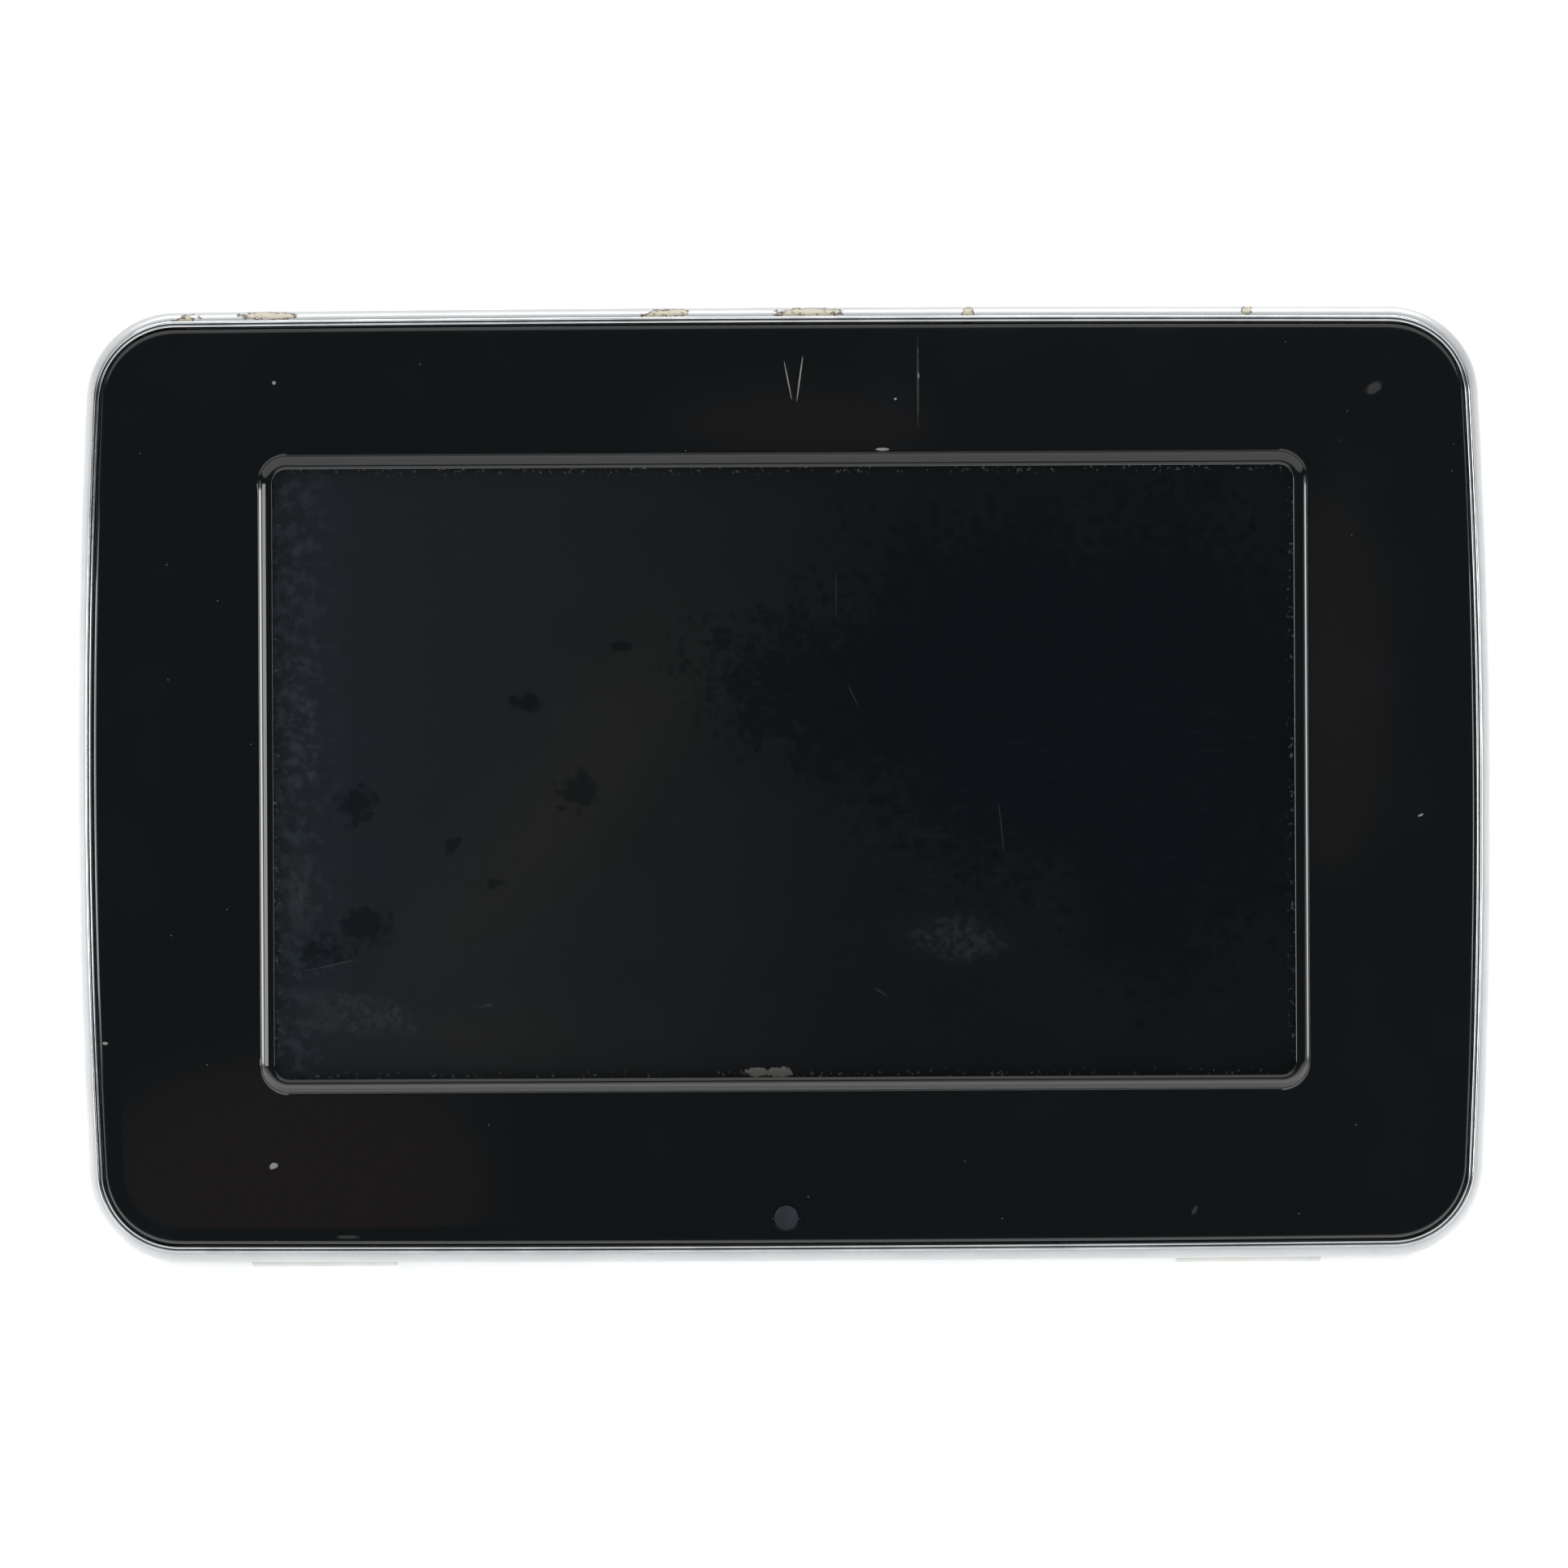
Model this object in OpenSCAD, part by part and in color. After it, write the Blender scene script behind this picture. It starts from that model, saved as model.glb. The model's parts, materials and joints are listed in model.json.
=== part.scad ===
// Seven-inch digital photo frame that leans back on a folding leg.
// Every piece is drawn in the body's own frame: X to the right, Y from the face (0) to the
// back, Z up from the middle. leaned() then tips the whole body back onto its feet.

/* [Body] */
// Width across the bowed sides
body_w = 213.9; // [212:0.1:220]
// Height across the bowed top and bottom
body_h = 144.2; // [142:0.1:150]
// Radius of the body's corners
corner_r = 14; // [13:0.5:16]
// How far each side bows out beyond its corners
side_bow = 1.45; // [0.8:0.05:2.5]
// How far the top and bottom bow out beyond their corners
top_bow = 0.3; // [0.2:0.05:1]
// Angle that the body leans back when it stands
lean = 18; // [16:0.5:20]

/* [Screen] */
// Width of the window in the bezel
window_w = 154; // [150:0.5:156]
// Height of the window in the bezel
window_h = 92; // [88:0.5:94]
// How far the window's middle is above the body's middle
window_rise = 1.8; // [0:0.1:2.5]
// Radius of the window's corners
window_r = 2.2; // [1.5:0.1:3]
// Width of the raised bead round the window
bead_w = 2.1; // [1.5:0.1:3]
// Height of the raised bead
bead_h = 1.1; // [0.6:0.1:1.5]
// Width of the display module
module_w = 164.9; // [160:0.1:166]
// Height of the display module
module_h = 100; // [98:0.1:102]
// Thickness of the display module
module_t = 5.7; // [5:0.1:5.7]
// Diameter of the round sensor window
sensor_d = 3.65; // [3:0.05:4]
// How far the sensor window is below the body's middle
sensor_drop = 65.4; // [64:0.1:65.5]

/* [Shells] */
// Width of the silver band seen from the front
silver_w = 1.5; // [1:0.1:2]
// Width of the chrome trim ring
trim_w = 1.0; // [0.8:0.1:1.4]
// Black gap between trim ring and bezel
trim_gap = 0.25; // [0.2:0.05:0.4]
// Thickness of the bezel's face
face_t = 2.4; // [2:0.1:2.6]
// Depth at which the silver band ends
band_back = 13; // [13:0.1:13.4]
// How far the rear cover stands in from the silver band
cover_inset = 6; // [5.5:0.1:6.5]
// Depth of the rear cover's back face
cover_back = 25.2; // [25:0.1:26]
// Thickness of the shells' walls
wall = 2; // [1.8:0.1:2.2]

/* [Stand] */
// Distance from the hinge axis to the leg's foot on the table
leg_reach = 85; // [84:0.5:86]
// Height of the hinge axis above the body's middle
hinge_rise = 15.8; // [15:0.1:17]
// Width of the leg at the hinge
leg_top_w = 36; // [30:1:38]
// Width of the leg at the foot
leg_foot_w = 44; // [40:1:46]
// Thickness of the leg
leg_t = 4.6; // [4:0.1:4.8]
// Radius of the steel hinge pin
pin_r = 1.25; // [1:0.05:1.4]

/* [Keys] */
// Radius of the round keys
key_r = 4; // [3.5:0.1:4.2]
// Radius of the enter key in the middle of the four arrow keys
enter_r = 4.5; // [4:0.1:4.8]
// Distance from the enter key to each arrow key
key_pitch = 12.5; // [12:0.1:14]
// How far the keys stand out of the back
key_proud = 0.8; // [0.4:0.1:1.5]
// Gap round each key
key_gap = 0.3; // [0.25:0.05:0.4]

/* [Hidden] */
$fn = 48;

// Slack between pieces that only touch, and the amount that a cut runs past a face
slack = 0.05;
past = 1;

// Corner centre and the two large bow radii, each tangent to the corner arc
half_w = body_w / 2;
half_h = body_h / 2;
corner_at = [half_w - side_bow - corner_r, half_h - top_bow - corner_r];
function bow_radius(reach, across) =
    (reach * reach + across * across - corner_r * corner_r) / (2 * (reach - corner_r));
side_r = bow_radius(half_w - corner_at.x, corner_at.y);
top_r = bow_radius(half_h - corner_at.y, corner_at.x);
side_turn = atan2(corner_at.y, corner_at.x - half_w + side_r);
top_turn = atan2(corner_at.x, corner_at.y - half_h + top_r);
corner_steps = 9;
bow_steps = 8;

// Insets of the nested edges, counted inwards from the body's outline
trim_in = silver_w + trim_w;
bezel_in = trim_in + trim_gap;
skirt_in = bezel_in + wall;
band_wall_in = bezel_in - 0.2;
flange_in = cover_inset + wall;
lip_in = flange_in + 0.15;
trim_front = 0.2;
lip_t = 1.15;
edge_r = 0.6;

// Depths, front to back
lip_y = 1.2;
frame_y = lip_y + 0.4;
lip_front = 12.1;
lip_back = 14.4;
module_back = frame_y + module_t;
chassis_y = module_back + slack;
chassis_t = 0.8;
chassis_back = chassis_y + chassis_t;
flange_y = band_back - 1.5;
skirt_back = flange_y - slack;
board_y = 12;
board_t = 1.6;
board_back = board_y + board_t;
cover_y = band_back + slack;
cover_in_y = cover_back - wall;

// Places on the body, as [x, z]
window_at = [0, window_rise];
sensor_at = [0, -sensor_drop];
corner_bosses = [for (sx = [-1, 1], sz = [-1, 1]) [92 * sx, 58 * sz]];
cover_bosses = concat(corner_bosses, [for (sx = [-1, 1]) [38 * sx, -59]]);
chassis_bosses = [for (sx = [-1, 1], sz = [-1, 1]) [86 * sx, window_rise + 44 * sz]];
board_posts = [for (x = [-6, 80], z = [-36, 38]) [x, z]];
board_left = -10;
board_right = 96;
board_low = -40;
board_high = 42;
speaker_at = [62, -38];
speaker_r = 14;
speaker_gap = 0.3;
speaker_ring = 1.2;
speaker_face = cover_in_y - speaker_gap;
cell_at = [38, -22];
wire_sides = 8;
keyhole_x = 50;
keyhole_z = 50;
keyhole_rise = 8;
keyhole_r = 4.2;
keyhole_slot_r = 2.2;

// Screws, and the bosses they go into
cover_boss_r = 3;
cover_screw_r = 1.2;
chassis_boss_r = 2.5;
chassis_screw_r = 0.8;
board_screw_r = 1.25;
thread_gap = 0.02;

// Keys
pad_at = [44, 10];
arrow_up = pad_at + [0, key_pitch];
arrow_down = pad_at - [0, key_pitch];
arrow_left = pad_at - [key_pitch, 0];
arrow_right = pad_at + [key_pitch, 0];
menu_at = [33, 32];
power_at = [55, 32];
round_keys = [arrow_up, arrow_down, arrow_left, arrow_right, menu_at, power_at];
all_keys = concat(round_keys, [pad_at]);

// Sockets on the right edge of the board: heights above the body's middle, widths, thicknesses
jack_z = -32;
usb_z = -14;
mini_z = 2;
card_z = 22;
usb_w = 13.1;
usb_t = 6.2;
mini_w = 7.7;
mini_t = 4;
card_w = 27;
card_t = 3.2;
jack_r = 3.1;
port_gap = 0.4;
socket_end = 100.4;
jack_y = board_back + 3.3;

// Feet and stand
foot_at = 70;
foot_len = 22;
foot_back = [band_back, -(half_h + 0.1)];
foot_flat = 1.8;
foot_tip = [foot_back.x - foot_flat, foot_back.y - foot_flat * tan(lean)];
floor_drop = foot_back.x * sin(lean) - foot_back.y * cos(lean);
hinge_y = 22.7;
leg_y0 = hinge_y - leg_t / 2;
leg_y1 = hinge_y + leg_t / 2;
hinge_h = hinge_rise * cos(lean) - hinge_y * sin(lean) + floor_drop;
leg_slope = acos(hinge_h / leg_reach);
leg_open = lean + leg_slope;
pocket_floor = hinge_y - 3.3;
pocket_gap = 0.8;
pocket_top = hinge_rise + 6.2;
barrel_r = 2.4;
heel_in = 0.3;
heel_h = (hinge_y - pocket_floor - 0.1 - heel_in * cos(leg_open)) / sin(leg_open);
pad_len = 7;
pad_start = leg_reach - pad_len;
washer_t = 0.5;
washer_x = leg_top_w / 2 + pocket_gap - washer_t / 2 - slack;
knuckle_w = 5;

// Where the leaned body stands: middle of its box over the origin, feet on the floor
front_y = trim_front * cos(lean) - (half_h - silver_w - trim_w / 4) * sin(lean);
rear_y = hinge_y * cos(lean) + hinge_rise * sin(lean)
    + leg_reach * sin(leg_slope) + leg_t / 2 / cos(leg_slope);

// ---------- helpers ----------

// Tips the body back and stands it on the floor
module leaned()
    translate([0, -(front_y + rear_y) / 2, floor_drop]) rotate([-lean, 0, 0]) children();

// Swings the leg from its folded place to its open place
module opened()
    translate([0, hinge_y, hinge_rise]) rotate([leg_open, 0, 0])
        translate([0, -hinge_y, -hinge_rise]) children();

// Points of an arc about a centre, without its last point
function arc(centre, r, from, to, steps) =
    [for (i = [0:steps - 1]) let (a = from + (to - from) * i / steps)
        centre + r * [cos(a), sin(a)]];

// The body's outline moved inwards by d: four bows and four corner arcs, anticlockwise
function outline(d) = let (r = corner_r - d, q = corner_at, s = side_r - half_w,
        t = top_r - half_h)
    concat(
        arc([-s, 0], side_r - d, -side_turn, side_turn, bow_steps),
        arc(q, r, side_turn, 90 - top_turn, corner_steps),
        arc([0, -t], top_r - d, 90 - top_turn, 90 + top_turn, bow_steps),
        arc([-q.x, q.y], r, 90 + top_turn, 180 - side_turn, corner_steps),
        arc([s, 0], side_r - d, 180 - side_turn, 180 + side_turn, bow_steps),
        arc([-q.x, -q.y], r, 180 + side_turn, 270 - top_turn, corner_steps),
        arc([0, t], top_r - d, 270 - top_turn, 270 + top_turn, bow_steps),
        arc([q.x, -q.y], r, 270 + top_turn, 360 - side_turn, corner_steps));

// A rectangle with round corners as points, anticlockwise about a centre
function round_box(centre, w, h, r) = [for (k = [0:3])
    each arc(centre + [(w / 2 - r) * [1, -1, -1, 1][k], (h / 2 - r) * [1, 1, -1, -1][k]],
        r, 90 * k, 90 * k + 90, 8)];

// Stands a flat loop up at a depth
function loop_at(points, y) = [for (p = points) [p.x, y, p.y]];

// Loops of the outline for a profile given as [inset, depth] pairs
function outline_loops(profile) = [for (p = profile) loop_at(outline(p[0]), p[1])];

// Quads between loop i and loop k, each of n points
function skin(i, k, n) =
    [for (j = [0:n - 1]) [i * n + j, i * n + (j + 1) % n, k * n + (j + 1) % n, k * n + j]];

// Closed ring: each loop is joined to the next, and the last to the first
module swept_ring(loops) {
    n = len(loops[0]);
    m = len(loops);
    polyhedron(points = [for (l = loops) each l],
        faces = [for (i = [0:m - 1]) each skin(i, (i + 1) % m, n)]);
}

// Solid between the first loop, in front, and the last, behind
module lofted(loops) {
    n = len(loops[0]);
    m = len(loops);
    polyhedron(points = [for (l = loops) each l],
        faces = concat([[for (j = [n - 1:-1:0]) j]],
            [for (i = [0:m - 2]) each skin(i, i + 1, n)],
            [[for (j = [0:n - 1]) (m - 1) * n + j]]));
}

// Pushes a flat shape drawn in X and Z from depth y0 back to depth y1
module slab(y0, y1)
    translate([0, y1, 0]) rotate([90, 0, 0]) linear_extrude(y1 - y0) children();

// Round bar along the depth at [x, z]
module bar(at, r, y0, y1)
    translate([at.x, y0, at.y]) rotate([-90, 0, 0]) cylinder(h = y1 - y0, r = r);

// Round bar along X at depth y and height z
module rod(x0, x1, y, z, r)
    translate([x0, y, z]) rotate([0, 90, 0]) cylinder(h = x1 - x0, r = r);

// Block centred on [x, z] with [width, height]
module block(at, size, y0, y1)
    translate([at.x - size.x / 2, y0, at.y - size.y / 2]) cube([size.x, y1 - y0, size.y]);

// Flat rectangle with round corners
module round_rect(w, h, r) {
    square([w - 2 * r, h], center = true);
    square([w, h - 2 * r], center = true);
    for (sx = [-1, 1], sz = [-1, 1])
        translate([sx * (w / 2 - r), sz * (h / 2 - r)]) circle(r);
}

function unit(v) = v / norm(v);

// Direction of a route at its point i: the mean of the stretches before and after it
function heading(points, i) = let (last = len(points) - 1)
    unit((i > 0 ? unit(points[i] - points[i - 1]) : [0, 0, 0])
        + (i < last ? unit(points[i + 1] - points[i]) : [0, 0, 0]));

// Slides a loop along direction d onto the plane through q with normal n
function slid(loop, d, q, n) = [for (p = loop) p + d * ((q - p) * n) / (d * n)];

// Round loop of radius r about a point, square to direction t
function round_loop(centre, t, r) = let (u = unit(cross(t, [0.31, 0.5, 0.81])), v = cross(u, t))
    [for (j = [0:wire_sides - 1]) let (a = 360 * j / wire_sides)
        centre + r * (cos(a) * u + sin(a) * v)];

// Wire along points given as [x, y, z], mitred where it bends
module wire(points, r) {
    last = len(points) - 1;
    lofted([for (i = 0, loop = round_loop(points[0], heading(points, 0), r); i <= last;
        loop = i < last ? slid(loop, unit(points[i + 1] - points[i]), points[i + 1],
            heading(points, i + 1)) : loop,
        i = i + 1) loop]);
}

// Pan-head screw along the depth: its head at the back, its tip at the front
module pan_screw(at, shank_r, head_r, tip_y, seat_y, head_t) difference() {
    union() {
        bar(at, shank_r, tip_y, seat_y + head_t / 2);
        bar(at, head_r, seat_y, seat_y + head_t);
    }
    for (s = [[0.5, 2.2], [2.2, 0.5]])
        block(at, s, seat_y + head_t * 0.4, seat_y + head_t + past);
}

// Board part: a block that sits on the back of the board
module on_board(at, size, t) block(at, size, board_back, board_back + t);

// ---------- front ----------

module front_bezel() leaned() color("#16191b") difference() {
    union() {
        difference() {
            lofted(outline_loops([[bezel_in + edge_r, 0], [bezel_in + 0.3 * edge_r, 0.3 * edge_r],
                [bezel_in, edge_r], [bezel_in, skirt_back]]));
            slab(face_t, skirt_back + past) polygon(outline(skirt_in));
        }
        swept_ring([for (p = bead_profile())
            loop_at(round_box(window_at, window_w + 2 * p[0], window_h + 2 * p[0],
                window_r + p[0]), p[1])]);
        for (at = cover_bosses) bar(at, cover_boss_r, face_t - 0.4, band_back);
        for (at = chassis_bosses) bar(at, chassis_boss_r, face_t - 0.4, chassis_y - slack);
        for (s = [-1, 1]) {
            block(sensor_at + [4.6 * s, 2.4], [1, 6], face_t - 0.4, 6.8);
            block(sensor_at + [3.9 * s, 2.4], [1.7, 6], 3.5, 6.8);
        }
    }
    slab(-bead_h - past, face_t + past) translate(window_at)
        round_rect(window_w, window_h, window_r);
    block(window_at, [module_w + 0.6, module_h + 0.6], lip_y, face_t + past);
    bar(sensor_at, sensor_d / 2 + 0.05, -past, face_t + past);
    for (at = cover_bosses) bar(at, cover_screw_r + thread_gap, 5, band_back + past);
    for (at = chassis_bosses) bar(at, chassis_screw_r + thread_gap, 3.2, chassis_y + past);
}

// Section of the raised bead as [distance outside the window, depth]: half an ellipse
// that rises from the face, with its foot let into the face
function bead_profile() = concat([[-0.4, 0.6], [-0.4, -0.4]],
    [for (a = [157.5:-22.5:22.5]) [bead_w / 2 * (1 + cos(a)), -bead_h * sin(a)]],
    [[bead_w, 0], [bead_w, 0.6]]);

module trim_ring() leaned() color("#c9ccce") swept_ring(outline_loops(trim_profile()));

// Section of the trim ring: two small round beads side by side on a flat foot
function trim_profile() = let (r = (trim_w - 0.02) / 4)
    concat(
        [for (k = [0, 1], a = [0:45:180])
            [trim_in - r - 2 * r * k + r * cos(a) * 0.98, trim_front + r * 1.4 * (1 - sin(a))]],
        [[silver_w + 0.02, 3 - 0.02], [trim_in, 3 - 0.02]]);

module housing_band() leaned() color("#d9dbdd") difference() {
    swept_ring(outline_loops([
        [silver_w, 0.8], [1.0, 0.95], [0.6, 1.4], [0.25, 2.3], [0.05, 3.6], [0, 5],
        [0, 10], [0.1, 11.8], [0.4, 12.7], [0.9, band_back], [flange_in, band_back],
        [flange_in, flange_y], [band_wall_in, flange_y], [band_wall_in, 3], [silver_w, 3]]));
    for (s = [-1, 1]) foot_recess(s);
}

// ---------- display ----------

module lcd_panel() leaned() color("#1c2126")
    block(window_at, [module_w - 1.6, module_h - 1.6], frame_y + 0.4, frame_y + 2.4);

module lcd_metal_frame() leaned() color("#a9adb0") difference() {
    block(window_at, [module_w, module_h], frame_y, module_back);
    block(window_at, [window_w + 2, window_h + 2], frame_y - past, frame_y + past);
    block(window_at, [module_w - 1, module_h - 1], frame_y + 0.35, module_back - 0.5);
}

module backlight() leaned() color("#f2f2ee")
    block(window_at, [module_w - 1.6, module_h - 1.6], frame_y + 2.45, module_back - 0.55);

// Flat cable: out of the module's foot, back through the chassis and up to the board
module lcd_flex() leaned() color("#b8741f")
    translate([20.2, 0, 0]) rotate([90, 0, 90]) linear_extrude(36, center = true)
        polygon([[module_back + slack, -46.2], [9.6, -46.2], [11.3, -44.4], [11.3, -36.2],
            [11.1, -36.2], [11.1, -44.3], [9.5, -46.0], [module_back + slack, -46.0]]);

module screen_gasket() leaned() color("#101010") difference() {
    block(window_at, [module_w - 0.5, module_h - 0.5], lip_y + 0.02, frame_y - 0.02);
    block(window_at, [window_w + 3, window_h + 3], lip_y - past, frame_y + past);
}

// Round lens with a flat foot glued behind the bezel
module sensor_window() leaned() color("#2c2f33") {
    bar(sensor_at, sensor_d / 2, 0.2, face_t + 0.5);
    block(sensor_at + [0, 0.3], [8, 3.6], face_t + slack, face_t + 0.85);
}

module ir_receiver() leaned() color("#202124") {
    block(sensor_at + [0, 2.2], [6, 6.6], 4.6, 6.9);
    translate([sensor_at.x, 4.8, sensor_at.y + 0.2]) sphere(1.4);
    for (x = [-1.6, 0, 1.6]) block(sensor_at + [x, 6.6], [0.5, 2.4], 5.4, 5.9);
}

// Three thin leads from the receiver, past the chassis, to the board
module receiver_wires() leaned() color("#b03a2e")
    for (i = [-1:1]) wire([[1.6 * i, 5.65, -57.5], [1.6 * i, 6.6, -55.5],
        [1.6 * i - 2, 10, -53], [1.6 * i - 4, 10.4, -41.8], [1.6 * i - 4, 11.9, -41.5]], 0.4);

// ---------- chassis and board ----------

module chassis_plate() leaned() color("#b4b8ba") difference() {
    block(window_at, [180, 106], chassis_y, chassis_back);
    for (at = chassis_bosses) bar(at, chassis_screw_r + 0.3, chassis_y - past, chassis_back + past);
    block([20, -46], [42, 4], chassis_y - past, chassis_back + past);
    block([-24, -46], [10, 4], chassis_y - past, chassis_back + past);
    for (x = [-62, -36], z = [-24, 4, 32])
        block([x, z], [18, 16], chassis_y - past, chassis_back + past);
}

module chassis_screws() leaned() color("#8d9194")
    for (at = chassis_bosses) pan_screw(at, chassis_screw_r, 1.9, 3.6, chassis_back + 0.01,
        1.3);

module board_standoffs() leaned() color("#c0a24a")
    for (at = board_posts) difference() {
        translate([at.x, chassis_back, at.y]) rotate([-90, 0, 0])
            cylinder(h = board_y - chassis_back, r = 2.6, $fn = 6);
        bar(at, board_screw_r + thread_gap, chassis_back + 0.4, board_y + past);
    }

module main_board() leaned() color("#14532d") difference() {
    translate([board_left, board_y, board_low])
        cube([board_right - board_left, board_t, board_high - board_low]);
    for (at = board_posts) bar(at, board_screw_r + 0.15, board_y - past, board_back + past);
}

module board_screws() leaned() color("#8d9194")
    for (at = board_posts) pan_screw(at, board_screw_r, 2.3, 9.2, board_back, 1.6);

module processor() leaned() color("#202226") on_board([10, 8], [17, 17], 1.4);

module memory_chips() leaned() color("#26282b")
    for (x = [2, 16]) on_board([x, -12], [10, 12.5], 1.1);

module flash_chip() leaned() color("#26282b") {
    on_board([10, -31], [18.4, 12], 1);
    for (s = [-1, 1]) on_board([10 + 9.6 * s, -31], [0.8, 11.4], 0.3);
}

module crystal() leaned() color("#c9cdd0") {
    on_board([-4, 8], [4.6, 10], 0.6);
    slab(board_back + 0.6, board_back + 3) translate([-4, 8]) {
        square([4, 7], center = true);
        for (s = [-1, 1]) translate([0, 3.5 * s]) circle(2);
    }
}

module inductors() leaned() color("#3b3d40")
    for (z = [-24, -15, -6]) {
        on_board([70, z], [6.6, 6.6], 0.8);
        bar([70, z], 3.1, board_back + 0.8, board_back + 3);
    }

module capacitors() leaned() color("#b9bdc0")
    for (at = [[78, -24], [78, -16], [62, 38.5], [4, 34], [12, 34]]) {
        on_board(at, [6.4, 6.4], 0.8);
        bar(at, 3, board_back + 0.8, board_back + 3.2);
    }

// Rows of small resistors and capacitors
module smd_parts() leaned() color("#8c7a5c") {
    for (i = [0:9]) on_board([14 + 2.4 * i, 24], [1.2, 2], 0.6);
    for (i = [0:7]) on_board([23, -4 + 2.6 * i], [2, 1.2], 0.6);
    for (i = [0:5]) on_board([-1 + 2.6 * i, -22.5], [1.2, 2], 0.6);
}

module lcd_connector() leaned() color("#e8e4d8") difference() {
    block([20.2, -34], [40, 4.4], 10.5, board_y);
    block([20.2, -35.2], [36.4, 3.4], 11, 11.4);
}

// Small white sockets for the wire leads
module wire_connectors() leaned() color("#efece2")
    for (at = [[-6, -20], [52, -20], [-6, 20]]) difference() {
        on_board(at, [5, 7], 3.2);
        block(at, [2.6, 5.4], board_back + 1, board_back + 4);
    }

module tact_switches() leaned() for (at = all_keys) {
    color("#1d1f22") on_board(at, [6.2, 6.2], 3.5);
    color("#d8d2c4") bar(at, 1.7, board_back + 3.5, board_back + 5);
}

// ---------- sockets ----------

module card_socket() leaned() color("#b7bbbe") difference() {
    on_board([85.6, card_z], [29.6, card_w], card_t);
    block([89, card_z], [24, 24.4], board_back + 0.5, board_back + 2.8);
}

module usb_socket() leaned() color("#c3c7c9") {
    difference() {
        on_board([(socket_end + 86) / 2, usb_z], [socket_end - 86, usb_w], usb_t);
        block([95, usb_z], [14, 12.5], board_back + 0.55, board_back + 5.65);
    }
    block([93.5, usb_z], [11, 11.1], board_back + 3.4, board_back + 5.2);
}

module mini_usb_socket() leaned() color("#c3c7c9") {
    difference() {
        on_board([(socket_end + 91) / 2, mini_z], [socket_end - 91, mini_w], mini_t);
        block([97, mini_z], [9, 6.9], board_back + 0.4, board_back + 3.6);
    }
    block([95, mini_z], [6, 4.6], board_back + 1.6, board_back + 2.3);
}

module power_jack() leaned() color("#1a1b1d") {
    difference() {
        union() {
            on_board([91.5, jack_z], [11, 8], 6.6);
            rod(96, socket_end - 0.2, jack_y, jack_z, jack_r);
        }
        rod(88, socket_end + past, jack_y, jack_z, 2);
    }
    rod(87.5, 98, jack_y, jack_z, 0.65);
}

// ---------- coin cell ----------

module coin_cell() leaned() color("#cfd2d4")
    bar(cell_at, 10, board_back + 0.65, board_back + 3.85);

module coin_cell_holder() leaned() color("#232528") difference() {
    bar(cell_at, 11.4, board_back, board_back + 3.4);
    bar(cell_at, 10.1, board_back + 0.6, board_back + 4);
    block(cell_at + [0, 11], [8, 6], board_back + 0.6, board_back + 4);
}

// ---------- speakers, side -1 on the left and 1 on the right ----------

module speaker_frame(side) leaned() color("#2a2c2f") {
    at = [speaker_at.x * side, speaker_at.y];
    difference() {
        bar(at, speaker_r, speaker_face - 3, speaker_face);
        bar(at, speaker_r - 1.6, speaker_face - 2.2, speaker_face + past);
        bar(at, 6.6, speaker_face - 4, speaker_face);
    }
}

module speaker_cone(side) leaned() color("#4a4d50")
    translate([speaker_at.x * side, speaker_face, speaker_at.y]) rotate([90, 0, 0])
        rotate_extrude() polygon([[0, 1.5], [5, 1.2], [8.4, 0.5], [10.4, 0.1], [12.2, 0.5],
            [12.2, 0.8], [10.4, 0.4], [8.4, 0.9], [5, 1.6], [0, 1.9]]);

module speaker_magnet(side) leaned() color("#6c7073") {
    at = [speaker_at.x * side, speaker_at.y];
    bar(at, 6.4, speaker_face - 5.4, speaker_face - 2.2);
}

module speaker_frame_left() speaker_frame(-1);
module speaker_frame_right() speaker_frame(1);
module speaker_cone_left() speaker_cone(-1);
module speaker_cone_right() speaker_cone(1);
module speaker_magnet_left() speaker_magnet(-1);
module speaker_magnet_right() speaker_magnet(1);

// Two leads to each speaker
module speaker_wires() leaned() color("#a33127") for (i = [-1, 1]) {
    wire([[-54, 19.4, -29 + 1.2 * i], [-51, 19.4, -27 + 1.2 * i], [-45, 16.4, -24 + 1.2 * i],
        [-16, 16.2, -20 + 1.2 * i], [-8.7, 15.4, -20 + 1.2 * i]], 0.45);
    wire([[56.5 + 1.2 * i, 19.4, -27], [55.5 + 1.2 * i, 19.4, -24],
        [52 + 0.65 * i, 18, -20.5], [52 + 0.65 * i, 15.6, -20]], 0.45);
}

// Two leads from the backlight through the chassis to the board
module backlight_cable() leaned() color("#c8c4b8") for (i = [-1, 1])
    wire([[-24 + 1.1 * i, module_back + 0.15, -46], [-24 + 1.1 * i, 9.6, -45.4],
        [-18 + 1.1 * i, 14.6, -28], [-13 + 1.1 * i, 15.2, 18 - 1.1 * i],
        [-8.7, 15.2, 20 - 1.1 * i]], 0.4);

// ---------- rear cover ----------

function leg_half(l) = (leg_top_w + (leg_foot_w - leg_top_w) * l / leg_reach) / 2;

// The stand's well: the leg's outline grown by g, open at the bottom
module well(g, y0, y1) slab(y0, y1) polygon([
    [-leg_half(0) - g, pocket_top + g - pocket_gap], [leg_half(0) + g, pocket_top + g - pocket_gap],
    [leg_half(0) + g, hinge_rise], [leg_half(leg_reach) + g, hinge_rise - leg_reach - 10],
    [-leg_half(leg_reach) - g, hinge_rise - leg_reach - 10], [-leg_half(0) - g, hinge_rise]]);

// Rounded shell shape whose back edge is a quarter ellipse
module cover_shape(inset, y0, y1, round_in, round_y) lofted(outline_loops(concat([[inset, y0]],
    [for (a = [0:18:90]) [inset + round_in * (1 - cos(a)), y1 - round_y * (1 - sin(a))]])));

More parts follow.
